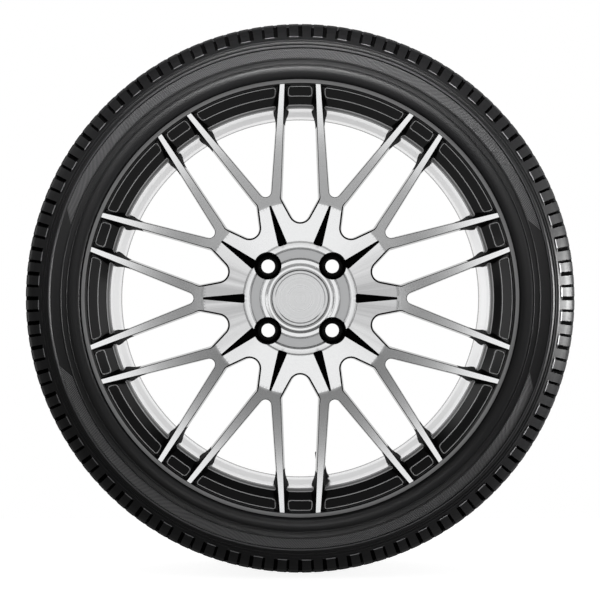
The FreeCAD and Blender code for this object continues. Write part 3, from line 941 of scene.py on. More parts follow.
    def slit_loop(self, spoke: int, grow: float) -> np.ndarray:
        """Draw one tapered slit of the hub.

        Args:
            spoke: Number of its spoke.
            grow: Distance by which the outline is widened.

        Returns:
            n by 2 array of (x, z), counter-clockwise.
        """
        wide, narrow = self.slit_round
        corners = [(self.slit_in_r, -self.slit_half, wide), (self.slit_tip_r, -self.slit_tip_half, narrow),
                   (self.slit_tip_r, self.slit_tip_half, narrow), (self.slit_in_r, self.slit_half, wide)]
        loop = shifted(rounded(corners, True, self.slit_step), grow)
        return loop @ spin(spoke * FULL_TURN / self.spokes).T

    @staticmethod
    def _lift(flat: np.ndarray, along: np.ndarray) -> np.ndarray:
        """Put flat (x, z) points at their places along the axis."""
        return np.stack([flat[:, 0], along, flat[:, 1]], axis=1)

    def _on_face(self, flat: np.ndarray, sink: float = 0.0) -> np.ndarray:
        """Put flat (x, z) points on the front face, or a little below it."""
        return self._lift(flat, self.face(radii(flat)) + sink)

    def _loose(self, star: np.ndarray, low: float, margin: float) -> np.ndarray:
        """Scatter loose points over the spokes for even triangles.

        Args:
            star: Outline of the spokes.
            low: Smallest radius.
            margin: Distance kept from the outline.

        Returns:
            n by 2 array.
        """
        rings = [ring_points(radius, int(FULL_TURN * radius / self.spacing))
                 for radius in np.arange(low, self.tip_r, self.spacing)]
        spots = np.concatenate(rings)
        return spots[inside(spots, shifted(star, -margin))]

    def _front(self, draft: MeshDraft, star: np.ndarray) -> None:
        """Add the machined face with its bolt pockets and slits.

        Args:
            draft: The mesh under construction.
            star: Outline of the spokes.
        """
        holes = [ring_points(self.cap_seat_r, self.hub_columns)]
        holes += [ring_points(self.bolt_pocket_r + self.bevel, self.bolt_columns, c) for c in self.bolt_centres()]
        holes += [self.slit_loop(spoke, self.bevel) for spoke in range(self.spokes)]
        guides = [ring_points(radius, self.hub_columns) for radius, _ in self.RINGS[1:]]
        spots, triangles = sheet_between(self._face_edge(star), holes, guides, self._loose(star, *self.front_loose))
        middles = radii(spots[np.array(triangles)].mean(axis=1))
        sunk = (middles > self.ring_floor[0]) & (middles < self.ring_floor[1])
        draft.add(self._on_face(spots), triangles, np.where(sunk, DiscPaint.SATIN, DiscPaint.FACE).tolist())
        for centre in self.bolt_centres():
            self._pocket(draft, centre)
        for spoke in range(self.spokes):
            self._slit(draft, spoke)

    def _pocket(self, draft: MeshDraft, centre: tuple[float, float]) -> None:
        """Add one bolt pocket down to its through hole.

        Args:
            draft: The mesh under construction.
            centre: Centre of the hole.
        """
        wall, floor, count = self.bolt_pocket_r, self.bolt_floor, self.bolt_columns
        rows = [self._on_face(ring_points(wall + self.bevel, count, centre)),
                self._on_face(ring_points(wall, count, centre), self.bevel)]
        for radius, along in ((wall, floor - self.bolt_pocket_round), (wall - self.bolt_pocket_round, floor),
                              (self.bolt_seat_r, floor), (self.bolt_hole_r, floor + self.bolt_cone),
                              (self.bolt_hole_r, self.pad)):
            rows.append(self._lift(ring_points(radius, count, centre), np.full(count, along)))
        # black paint in the pocket, made flat and non-reflecting as painted shade
        draft.add_grid(np.array(rows), DiscPaint.SHADE_BLACK)

    def _slit(self, draft: MeshDraft, spoke: int) -> None:
        """Add the walls and floor of one slit.

        Args:
            draft: The mesh under construction.
            spoke: Number of its spoke.
        """
        edge = self.slit_loop(spoke, 0.0)
        angle = spoke * FULL_TURN / self.spokes
        axis = np.array([math.cos(angle), math.sin(angle)])
        along = edge @ axis
        middle = along[:, None] * axis
        floor = middle + self.slit_floor * (edge - middle)
        fade = np.clip((self.slit_tip_r - along) / self.slit_fade, self.slit_least, 1.0)
        low = self.face(radii(edge)) + self.slit_depth * fade
        rows = [self._on_face(self.slit_loop(spoke, self.bevel)), self._on_face(edge, self.bevel),
                self._lift(floor, low), self._lift(middle, low)]
        # black paint in the slit, made flat and non-reflecting as painted shade
        draft.add_grid(np.array(rows), DiscPaint.SHADE_BLACK)

    def _flanks(self, draft: MeshDraft, star: np.ndarray) -> None:
        """Add the bevels and the painted flanks of the spokes; the bevels and the feet get a flat non-reflecting black
        as painted shade.

        Args:
            draft: The mesh under construction.
            star: Outline of the spokes.
        """
        radius = radii(star)
        top = self.face(radius)
        low = self.back(radius)
        flare = self._flare(star)
        rows = [self._on_face(self._face_edge(star)), self._on_face(star, self.bevel)]
        for share in (0.33, 0.66, 1.0):
            rows.append(self._lift(shifted(star, flare * share), top + (low - top - self.rear_edge) * share))
        rows.append(self._lift(shifted(star, flare - self.rear_edge), low))
        # painted shade: the bevels and the feet near the rim take the flat black
        foot_shade = np.where(radius > self.shade_foot_r, DiscPaint.SHADE_BLACK, DiscPaint.BLACK)
        bevel = np.full(len(star), DiscPaint.SHADE_BLACK)
        draft.add_grid(np.array(rows), np.stack([bevel, foot_shade, foot_shade, foot_shade, foot_shade]))

    def _rear(self, draft: MeshDraft, star: np.ndarray) -> None:
        """Add the painted back with the mounting pad and the hub bore.

        Args:
            draft: The mesh under construction.
            star: Outline of the spokes.
        """
        outer = shifted(star, self._flare(star) - self.rear_edge)
        holes = [ring_points(self.hub_bore_r + self.bore_edge, self.bore_columns)]
        holes += [ring_points(self.bolt_hole_r, self.bolt_columns, c) for c in self.bolt_centres()]
        guides = [ring_points(radius, self.pad_columns) for radius, _ in self.BACK[1:3]]
        spots, triangles = sheet_between(outer, holes, guides, self._loose(star, *self.rear_loose))
        draft.add(self._lift(spots, self.back(radii(spots))), triangles, DiscPaint.BLACK)

    def build(self, finishes: Finishes) -> bpy.types.Object:
        """Make the disc, with the cap's seat and the hub bore.

        Args:
            finishes: Materials of the wheel.

        Returns:
            The new piece.
        """
        draft = MeshDraft()
        star = self.star()
        self._front(draft, star)
        self._flanks(draft, star)
        self._rear(draft, star)
        draft.add_grid(revolved(np.array(self.BORE), self.hub_columns), DiscPaint.BLACK)
        paints = [finishes.machined, finishes.black, finishes.satin, finishes.shade_black]
        return draft.build("wheel_disc", paints, self.sharp)


class RimPaint(IntEnum):
    """Materials of the rim, in the order of its slots."""

    BLACK = 0
    BARREL = 1
    # painted highlight on the panel and bead edges
    EDGE_HIGHLIGHT = 2
    LIP = 3


@dataclass(frozen=True)
class Rim:
    """The turned rim of the casting: flanges, bead seats, well and painted shelf."""

    columns: int = 360
    half: float = 95.25
    out: float = 107.25
    flange_r: float = 235.6
    flange_bend: float = 9.5
    flange_drop: float = 2.6
    flange_points: int = 9
    seat_r: float = 217.86
    seat_width: float = 5.0
    well_r: float = 203.5
    barrel_r: float = 212.5
    wall: float = 4.0
    lip_r: float = 230.6
    pad_edge: float = 1.3
    pad_rise: float = 1.3
    pad_end: float = 3.4
    bead_rise: float = 1.3
    bead_end: float = 2.2
    bead_highlight_level: float = 0.9
    highlight_share: tuple[float, float] = (0.3, 0.93)
    bay_middles: int = 6
    bay_room: float = 0.9
    throat_r: float = 200.4
    throat_shade: tuple[float, float] = (-22.0, -8.0)
    longest: float = 40.0
    sharp: float = 40.0

    BASE = ((229.4, 3.85), (228.9, 5.2), (217.4, 11.3), (209.9, 17.3), (205.5, 20.6))
    PANEL = (217.8, 228.6, 3.4)
    BEAD = (205.7, 209.7, 1.8)
    BAY_RADII = (229.4, 229.05, 228.9, 228.6, 228.3, 228.0, 227.7, 227.3, 226.8, 226.0, 225.0, 223.6, 222.2, 221.0,
                 220.0, 219.4, 218.9, 218.5, 218.1, 217.8, 217.4, 216.6, 215.0, 212.0, 210.3, 209.9, 209.7, 209.4,
                 209.1, 208.7, 208.2, 207.6, 207.0, 206.6, 206.3, 206.0, 205.7, 205.5)
    BAY_ENDS = (-1.0, 1.0, 1.8, 2.2, 2.5, 2.8, 3.1, 3.4, 3.7, 4.0, 4.4, 4.9, 5.5, 6.2, 7.2)
    HUMP = ((-74.25, 216.46, 1.0), (-71.75, 217.56, 1.0), (-69.25, 217.56, 1.0))

    def section(self) -> tuple[np.ndarray, int]:
        """Draw the section of the rim from its front lip round the tyre side to the throat.

        Returns:
            Points of (along the axis, radius) and how many of them belong to the painted lip.
        """
        bend = self.flange_r - self.flange_bend
        foot = bend - self.flange_drop
        throat = self.well_r - self.wall
        rear_hump = [(-along, radius, corner) for along, radius, corner in reversed(self.HUMP)]
        tyre_side = [(-self.half, foot, 0.0), (-self.half + self.seat_width, self.seat_r, 4.0), *self.HUMP,
                     (-64.0, 214.5, 3.0), (-50.0, self.well_r, 6.0), (-12.0, self.well_r, 6.0),
                     (12.0, self.barrel_r, 8.0), (66.75, 213.5, 3.0), *rear_hump,
                     (self.half - self.seat_width, self.seat_r, 4.0), (self.half, foot, 0.0)]
        arc = [(self.half + self.flange_bend * (1 - math.cos(t)), bend + self.flange_bend * math.sin(t))
               for t in np.linspace(0.0, math.pi / 2, self.flange_points)]
        rear = [(106.5, 235.3, 1.0), (self.out, 233.0, 1.0), (103.25, 226.1, 2.0), (99.25, 216.6, 4.0),
                (91.25, 212.0, 4.0), (66.75, 209.3, 6.0), (14.0, 208.5, 8.0), (-9.0, throat, 2.0),
                (-22.0, throat, 0.0), (-48.0, throat, 5.0), (-62.0, 204.2, 5.0), (-86.6, 205.5, 0.0)]
        shelf = [(-103.4, 229.4, 0.0), (-105.9, 229.9, 0.7), (-self.out, 231.6, 0.9), (-self.out, 233.4, 1.5),
                 (-106.3, 235.4, 1.0), (-self.half - self.flange_bend, self.flange_r, 0.0)]
        lower = rounded(tyre_side, False, self.longest, 3)
        inner = rounded([(*arc[-1], 0.0)] + rear, False, self.longest, 5)
        lip = rounded(shelf, False, self.longest, 6)
        return np.concatenate([lip, np.array(arc)[::-1] * MIRROR, lower, np.array(arc), inner]), len(lip)

    def _raise(self, inside_end: np.ndarray, radius: float, low: float, high: float, corner: float) -> np.ndarray:
        """Give the rise of a pad with rounded corners and rounded edges.

        Args:
            inside_end: Distances from the pad's end, positive on the pad.
            radius: Radius of the row.
            low: Inner radius of the pad.
            high: Outer radius of the pad.
            corner: Rounding of the pad's corners.

        Returns:
            Shares of the full rise.
        """
        depth = min(radius - low, high - radius)
        near = np.hypot(np.maximum(corner - inside_end, 0.0), max(corner - depth, 0.0))
        gap = np.where((inside_end < corner) & (depth < corner), corner - near, np.minimum(inside_end, depth))
        share = np.clip(gap / self.pad_edge, 0.0, 1.0)
        return np.sqrt(1.0 - (1.0 - share) ** 2)

    def _bay(self, draft: MeshDraft, disc: SpokedDisc, middle: float, fork: bool) -> None:
        """Add the painted shelf between two spokes, with its panel and its bead, and painted highlights on their
        rounded edges and on the bead's top.

        Args:
            draft: The mesh under construction.
            disc: The spoked disc that bounds the bay.
            middle: Angle of the bay's middle.
            fork: Whether the bay lies inside a fork.
        """
        base = np.array(self.BASE)[::-1]
        count = 2 * self.bay_middles if fork else self.bay_middles
        rows, panels, beads = [], [], []
        for radius in self.BAY_RADII:
            half = disc.edge_angle(radius, fork)
            wide = half * radius
            ends = np.array([spot for spot in self.BAY_ENDS if spot < self.bay_room * wide])
            fill = np.linspace(ends[-1], 2.0 * wide - ends[-1], count + 2)[1:-1]
            along = np.concatenate([ends, fill, (2.0 * wide - ends)[::-1]])
            near = np.minimum(along, 2.0 * wide - along)
            panels.append(self._raise(near - self.pad_end, radius, *self.PANEL))
            beads.append(self._raise(near - self.bead_end, radius, *self.BEAD))
            rise = self.pad_rise * panels[-1] + self.bead_rise * beads[-1]
            depth = np.interp(radius, base[:, 0], base[:, 1]) - rise
            angle = middle - half + along / radius
            rows.append(np.stack([radius * np.cos(angle), depth - self.out, radius * np.sin(angle)], axis=1))
        share = np.array(panels) + np.array(beads)
        middles = 0.25 * (share[1:, 1:] + share[1:, :-1] + share[:-1, 1:] + share[:-1, :-1])
        # painted highlight: the rounded edges of the panels and beads take the light grey
        edges = (middles > self.highlight_share[0]) & (middles < self.highlight_share[1])
        # painted highlight: the flat tops of the beads take the mid grey lip colour
        painted_bead_highlight = np.array(beads)[:-1, :-1] > self.bead_highlight_level
        paint = np.where(edges, RimPaint.EDGE_HIGHLIGHT, np.where(painted_bead_highlight, RimPaint.LIP, RimPaint.BLACK))
        draft.add_grid(np.array(rows), paint, wrap=False)

    def build(self, finishes: Finishes, disc: SpokedDisc) -> bpy.types.Object:
        """Make the rim.

        Args:
            finishes: Materials of the wheel.
            disc: The spoked disc that bounds the bays.

        Returns:
            The new piece.
        """
        points, lip = self.section()
        along, radius = points[:, 0], points[:, 1]
        paint = np.full(len(points), RimPaint.BARREL)
        paint[:lip] = np.where(radius[:lip] > self.lip_r, RimPaint.LIP, RimPaint.BLACK)
        shade = (radius < self.throat_r) & (along > self.throat_shade[0]) & (along < self.throat_shade[1])
        paint[shade] = RimPaint.LIP
        draft = MeshDraft()
        draft.add_grid(revolved(points, self.columns), paint[:-1, None])
        turn = FULL_TURN / disc.spokes
        for spoke in range(disc.spokes):
            self._bay(draft, disc, spoke * turn, True)
            self._bay(draft, disc, (spoke + 0.5) * turn, False)
        paints = [finishes.black, finishes.barrel, finishes.edge, finishes.lip]
        return draft.build("wheel_rim", paints, self.sharp)


class TyrePaint(IntEnum):
    """Materials of the tyre, in the order of its slots."""

    RUBBER = 0
    # painted shade
    GROOVE_SHADE = 1
    # painted highlight
    RIDGE_HIGHLIGHT = 2
    TREAD = 3
    # painted highlight
    RIB_HIGHLIGHT = 4


@dataclass(frozen=True)
class Tyre:
    """The moulded tyre: sidewalls, shoulder slots, main grooves and sipes."""

    pitches: int = 68
    pitch_r: float = 295.0
    crown_r: float = 301.9
    crown_drop: float = 2.8
    groove_depth: float = 8.0
    groove_half: float = 4.5
    groove_taper: float = 0.7
    groove_edge: float = 0.4
    groove_edge_drop: float = 0.35
    groove_in: float = 20.0
    groove_out: float = 57.0
    groove_floor: tuple[float, float] = (62.5, 296.0)
    slot_half: float = 2.2
    slot_depth: float = 5.0
    slot_reach: float = 70.0
    slot_end_r: float = 280.6
    slot_run: float = 2.2
    slot_wall: float = 0.3
    slot_least: float = 0.4
    slot_thin: tuple[float, float] = (305.0, 14.0)
    sipe_half: float = 1.5
    sipe_depth: float = 4.0
    sipe_gain: float = 1.6
    rib_sipes: tuple[float, float] = (26.0, 51.0)
    rib_sipe_depth: float = 4.0
    rib_r: float = 297.0
    rib_start: float = 1.6
    rib_step: float = 13.0
    middle_step: float = 14.0
    sweep: float = 2.4
    tread_half: float = 90.0
    hook_r: tuple[float, float] = (280.4, 281.6)
    hook_rise: float = 0.9
    # the front rib between these radii takes a painted highlight
    rib_highlight_r: tuple[float, float] = (269.2, 270.6)
    # cuts deeper than this take the painted shade rubber
    shade_depth: float = 1.2
    side_step: float = 0.5
    lining_step: float = 30.0
    lining_columns: int = 100
    sharp: float = 32.0

    SIDE = ((104.75, 235.9, 0.0), (107.2, 238.2, 2.0), (108.4, 243.0, 5.0), (108.0, 248.8, 3.0), (107.2, 250.2, 0.4),
            (107.75, 250.7, 0.2), (107.75, 251.5, 0.2), (107.1, 252.0, 0.3), (107.1, 256.4, 0.4), (107.8, 256.9, 0.2),
            (107.8, 257.8, 0.2), (107.2, 258.3, 0.3), (107.2, 268.4, 0.4), (108.5, 269.4, 0.3), (108.5, 271.7, 0.4),
            (106.9, 272.9, 0.5), (106.5, 274.1, 0.2), (106.9, 274.5, 0.2), (106.8, 275.2, 0.2), (106.0, 275.7, 0.2),
            (105.6, 276.7, 0.2), (106.0, 277.1, 0.2), (105.7, 277.9, 0.2), (104.9, 278.4, 0.3), (103.6, 280.6, 4.0),
            (99.0, 288.0, 10.0), (92.5, 294.6, 7.0), (86.0, 297.4, 10.0), (70.4, 299.1, 20.0))
    FRONT_RADII = (235.9, 236.7, 237.6, 238.8, 240.6, 242.8, 245.2, 247.4, 249.0, 249.8, 250.2, 250.7, 251.5, 252.0,
                   252.6, 255.8, 256.4, 256.9, 257.8, 258.3, 259.0, 263.5, 267.9, 268.4, 268.9, 269.4, 270.4, 271.4,
                   271.9, 272.4, 272.9, 273.6, 274.1, 274.5, 275.2, 275.7, 276.7, 277.1, 277.9, 278.4, 279.4, 280.2,
                   280.5, 281.5, 281.8, 282.8, 284.2, 286.0, 288.0, 290.2, 292.4, 294.2, 295.5, 296.5, 297.4, 298.2,
                   299.1)
    BACK_RADII = (235.9, 237.6, 240.6, 245.0, 249.6, 250.4, 251.1, 252.0, 256.4, 257.3, 258.4, 268.3, 269.4, 270.5,
                  271.8, 273.0, 276.0, 279.6, 280.4, 282.4, 285.6, 288.8, 292.0, 294.6, 296.4, 297.8, 299.1)
    LINING = ((104.75, 235.9, 0.0), (97.8, 233.0, 4.0), (94.95, 226.1, 3.0), (94.95, 223.6, 1.0), (90.1, 218.2, 2.0),
              (75.2, 217.0, 1.5), (79.0, 224.0, 3.0), (86.0, 236.0, 8.0), (96.5, 256.0, 12.0), (94.0, 272.0, 10.0),
              (80.0, 283.6, 10.0), (57.0, 287.2, 10.0), (0.0, 287.2, 0.0))

    def _side_rows(self, radii: tuple[float, ...]) -> np.ndarray:
        """Draw one side from the bead to the tread, on the +Y side.

        Args:
            radii: Radii of the rows.

        Returns:
            n by 2 array of (along the axis, radius).
        """
        path = rounded(list(self.SIDE), False, self.side_step)
        return np.stack([np.interp(radii, path[:, 1], path[:, 0]), radii], axis=1)

    def _crown(self, along: float) -> tuple[float, float]:
        """Give the point of the crown at a place along the axis."""
        return along, self.crown_r - self.crown_drop * (along / self.slot_reach) ** 2

    def _tread_rows(self) -> list[tuple[float, float]]:
        """Draw the tread between the shoulders from +Y to -Y, with its grooves.

        Returns:
            (along the axis, radius) pairs.
        """
        end = self.slot_reach - 0.1
        rows = [self._crown(end)]
        for middle in (self.groove_out, self.groove_in, -self.groove_in, -self.groove_out):
            high = middle + self.groove_half
            low = middle - self.groove_half
            floor = self._crown(middle)[1] - self.groove_depth
            left = self._crown(high)[1]
            right = self._crown(low)[1]
            rows += [(high + self.groove_edge, left), (high, left - self.groove_edge_drop),
                     (high - self.groove_taper, floor), (low + self.groove_taper, floor),
                     (low, right - self.groove_edge_drop), (low - self.groove_edge, right)]
            if middle != -self.groove_out:
                after = low - (self.middle_step if middle == self.groove_in else self.rib_step)
                rows += [self._crown(spot) for spot in (low - self.rib_start, 0.5 * (low + after), after)]
        rows.append(self._crown(-end))
        return rows

    def _columns(self) -> np.ndarray:
        """Lay out the columns of one pitch.

        Returns:
            (degrees, slot share, sipe share, block share) of each column.
        """
        pitch = 360.0 / self.pitches
        degree = math.degrees(1.0 / self.pitch_r)
        slot = self.slot_half * degree
        sipe = self.sipe_half * degree
        wall = self.slot_wall * degree
        middle = 0.5 * pitch
        rows = [(-slot, 0, 0, 0), (-slot + wall, 1, 0, 0), (slot - wall, 1, 0, 1), (slot, 0, 0, 1),
                (0.5 * (slot + middle - sipe), 0, 0, 1), (middle - sipe, 0, 0, 1), (middle - sipe + wall, 0, 1, 1),
                (middle + sipe - wall, 0, 1, 0), (middle + sipe, 0, 0, 0),
                (0.5 * (middle + sipe + pitch - slot), 0, 0, 0)]
        return np.array(rows, float)

    def _cuts(self, rows: np.ndarray, columns: np.ndarray) -> np.ndarray:
        """Give the depths of the slots and sipes within one pitch.

        Args:
            rows: (along the axis, radius) of each row.
            columns: Layout of one pitch.

        Returns:
            Rows by columns array of depths.
        """
        along, radius = np.abs(rows[:, 0]), rows[:, 1]
        shoulder = (radius >= self.slot_end_r) & (along >= self.slot_reach)
        fade = np.clip((radius - self.slot_end_r) / self.slot_run, 0.0, 1.0)
        crown = np.clip((self.slot_thin[0] - radius) / self.slot_thin[1], self.slot_least, 1.0)
        slots = np.where(shoulder, self.slot_depth * fade * crown, 0.0)
        sipes = np.where(shoulder, self.sipe_depth * np.clip(fade * self.sipe_gain, 0.0, 1.0), 0.0)
        ribs = (along > self.rib_sipes[0]) & (along < self.rib_sipes[1]) & (radius > self.rib_r)
        sipes = np.where(ribs, self.rib_sipe_depth, sipes)
        return np.maximum(slots[:, None] * columns[:, 1], sipes[:, None] * columns[:, 2])

    def _grid(self, rows: np.ndarray, columns: np.ndarray, depth: np.ndarray) -> np.ndarray:
        """Wrap the rows round the wheel and sink them.

        Args:
            rows: (along the axis, radius) of each row.
            columns: Layout of one pitch.
            depth: Depths within one pitch.

        Returns:
            Rows by columns by 3 array of points.
        """
        along = rows[:, :1]
        tangent = np.gradient(rows, axis=0)
        tangent /= np.linalg.norm(tangent, axis=1, keepdims=True)
        inward = np.stack([-tangent[:, 1], tangent[:, 0]], axis=1)
        inward *= -np.sign(inward[:, 1:2] + 1e-9)
        depth = np.tile(depth, (1, self.pitches))
        turns = (np.arange(self.pitches)[:, None] * 360.0 / self.pitches + columns[:, 0]).ravel()
        lean = self.sweep * np.sin(math.pi * along / self.slot_reach)
        angle = np.radians(90.0 + turns + np.where(np.abs(along) < self.slot_reach, lean, 0.0))
        reach = rows[:, 1:] + inward[:, 1:] * depth
        return np.stack([reach * np.cos(angle), along + inward[:, :1] * depth, reach * np.sin(angle)], axis=2)

    def _paint(self, rows: np.ndarray, columns: np.ndarray, depth: np.ndarray, hook: np.ndarray) -> np.ndarray:
        """Choose the material of each quad, with painted shade in the cuts and grooves and painted highlights on the
        raised lines and the rib.

        Args:
            rows: (along the axis, radius) of each row.
            columns: Layout of one pitch.
            depth: Depths within one pitch.
            hook: Which rows carry the raised lines under the blocks.

        Returns:
            Rows by columns array of material numbers.
        """
        along, radius = rows[:, 0], rows[:, 1]
        # painted shade: the deep cuts and the groove floors take the near-black matte rubber
        low = paired(np.tile(depth > self.shade_depth, (1, self.pitches)))
        low |= np.roll(low, -1, axis=1)
        low |= paired((radius < self.groove_floor[1]) & (np.abs(along) < self.groove_floor[0]))[:, None]
        blocks = np.tile(columns[:, 3] > 0, self.pitches)
        # painted highlight: the raised lines under the blocks take a lighter grey
        hooks = paired(hook)[:, None] & (blocks & np.roll(blocks, -1))
        # painted highlight: the front rib ring takes a lighter rubber
        line = paired((radius > self.rib_highlight_r[0]) & (radius < self.rib_highlight_r[1]) & (along < 0.0))
        tread = np.abs(along[:-1] + along[1:]) < 2.0 * self.tread_half
        plain = np.where(line, TyrePaint.RIB_HIGHLIGHT, np.where(tread, TyrePaint.TREAD, TyrePaint.RUBBER))[:, None]
        return np.where(low, TyrePaint.GROOVE_SHADE, np.where(hooks, TyrePaint.RIDGE_HIGHLIGHT, plain))

    def _inside(self, draft: MeshDraft) -> None:
        """Add the beads and the inner lining.

        Args:
            draft: The mesh under construction.
        """
        lining = rounded(list(self.LINING), False, self.lining_step, 3)
        profile = np.concatenate([lining, lining[::-1][1:] * MIRROR])
        draft.add_grid(revolved(profile, self.lining_columns), TyrePaint.RUBBER)

    def build(self, finishes: Finishes) -> bpy.types.Object:
        """Make the tyre.

        Args:
            finishes: Materials of the wheel.

        Returns:
            The new piece.
        """
        rows = np.concatenate([self._side_rows(self.BACK_RADII), np.array(self._tread_rows()),
                               self._side_rows(self.FRONT_RADII)[::-1] * MIRROR])
        columns = self._columns()
        cuts = self._cuts(rows, columns)
        hook = (rows[:, 1] > self.hook_r[0]) & (rows[:, 1] < self.hook_r[1]) & (rows[:, 0] < 0.0)
        depth = np.where(hook[:, None], -self.hook_rise * columns[:, 3], cuts)
        draft = MeshDraft()
        draft.add_grid(self._grid(rows, columns, depth), self._paint(rows, columns, cuts, hook))
        self._inside(draft)
        paints = [finishes.tyre, finishes.groove_shade, finishes.ridge_highlight, finishes.tread, finishes.rib_highlight]
        return draft.build("tyre_moulding", paints, self.sharp)


@dataclass(frozen=True)
class ValveCap:
    """The ribbed screw cap of the air valve."""

    turn: float = -187.2
    along: float = -54.0
    closed: float = 169.0
    mouth: float = 181.8
    top: float = 1.9
    radius: float = 5.25
    bore: float = 4.15
    ribs: int = 24
    rib_depth: float = 0.28
    rib_columns: int = 4
    sharp: float = 35.0

    def _profile(self) -> list[tuple[float, float, int]]:
        """Draw the half section of the cap from its closed end round to the inside.

        Returns:
            (radius, height, 1 where the ribs run) of each ring.
        """
        wall, low, high = self.radius, self.closed, self.mouth
        return [(0.01, low, 0), (wall - 1.4, low, 0), (wall - 0.5, low + 0.4, 0), (wall, low + 1.3, 0),
                (wall, low + 2.0, 1), (wall, high - 1.6, 1), (wall, high - 1.0, 0), (wall, high - 0.2, 0),
                (wall - 0.2, high, 0), (self.bore, high, 0), (self.bore, low + self.top, 0), (0.01, low + self.top, 0)]

    def build(self, finishes: Finishes) -> bpy.types.Object:
        """Make the cap.

        Args:
            finishes: Materials of the wheel.

        Returns:
            The new piece.
        """
        count = self.ribs * self.rib_columns
        angles = np.arange(count) * FULL_TURN / count
        wave = np.where(np.arange(count) % self.rib_columns < self.rib_columns // 2, 0.0, -self.rib_depth)
        beta = math.radians(self.turn)
        out = np.array([math.sin(beta), 0.0, math.cos(beta)])
        side = np.array([math.cos(beta), 0.0, -math.sin(beta)])
        axle = np.array([0.0, 1.0, 0.0])
        rows = []
        for radius, height, ribbed in self._profile():
            reach = radius + wave * ribbed
            ring = (reach * np.cos(angles))[:, None] * side + (reach * np.sin(angles))[:, None] * axle
            rows.append(ring + height * out + self.along * axle)
        draft = MeshDraft()
        draft.add_grid(np.array(rows), 0)
        return draft.build("valve_cap_ribbed", [finishes.plastic], self.sharp)


def dress_nodes(finishes: Finishes) -> None:
    """Give the CAD nodes that stay in view their finishes and soft edges.

    Args:
        finishes: Materials of the wheel.
    """
    coats = {"centre_cap": finishes.cap, "cap_spring": finishes.steel, "valve_body": finishes.rubber,
             "valve_tube": finishes.brass, "valve_core": finishes.brass, "valve_pin": finishes.brass,
             "valve_seal": finishes.rubber}
    for name, material in coats.items():
        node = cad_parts[name]
        node.data.materials.clear()
        node.data.materials.append(material)
        bevel = node.modifiers.new("soft_edges", "BEVEL")
        bevel.width = CAP_BEVEL if name == "centre_cap" else SMALL_BEVEL
        bevel.segments = 2
        bevel.limit_method = "ANGLE"
        bevel.angle_limit = math.radians(BEVEL_ANGLE)


@dataclass(frozen=True)
class Lamp:
    """One soft area light, in metres and watts."""

    name: str
    place: tuple[float, float, float]
    aim: tuple[float, float, float]
    size: tuple[float, float]
    power: float
    spread: float = 180.0

    def build(self) -> bpy.types.Object:
        """Hang the lamp.

        Returns:
            The lamp.
        """
        light = bpy.data.lights.new(self.name, "AREA")
        light.shape = "RECTANGLE"
        light.size, light.size_y = self.size
        light.energy = self.power
        light.spread = math.radians(self.spread)
        lamp = bpy.data.objects.new(self.name, light)
        lamp.location = self.place
        lamp.rotation_euler = (Vector(self.aim) - Vector(self.place)).to_track_quat("-Z", "Y").to_euler()
        bpy.context.scene.collection.objects.link(lamp)
        return lamp


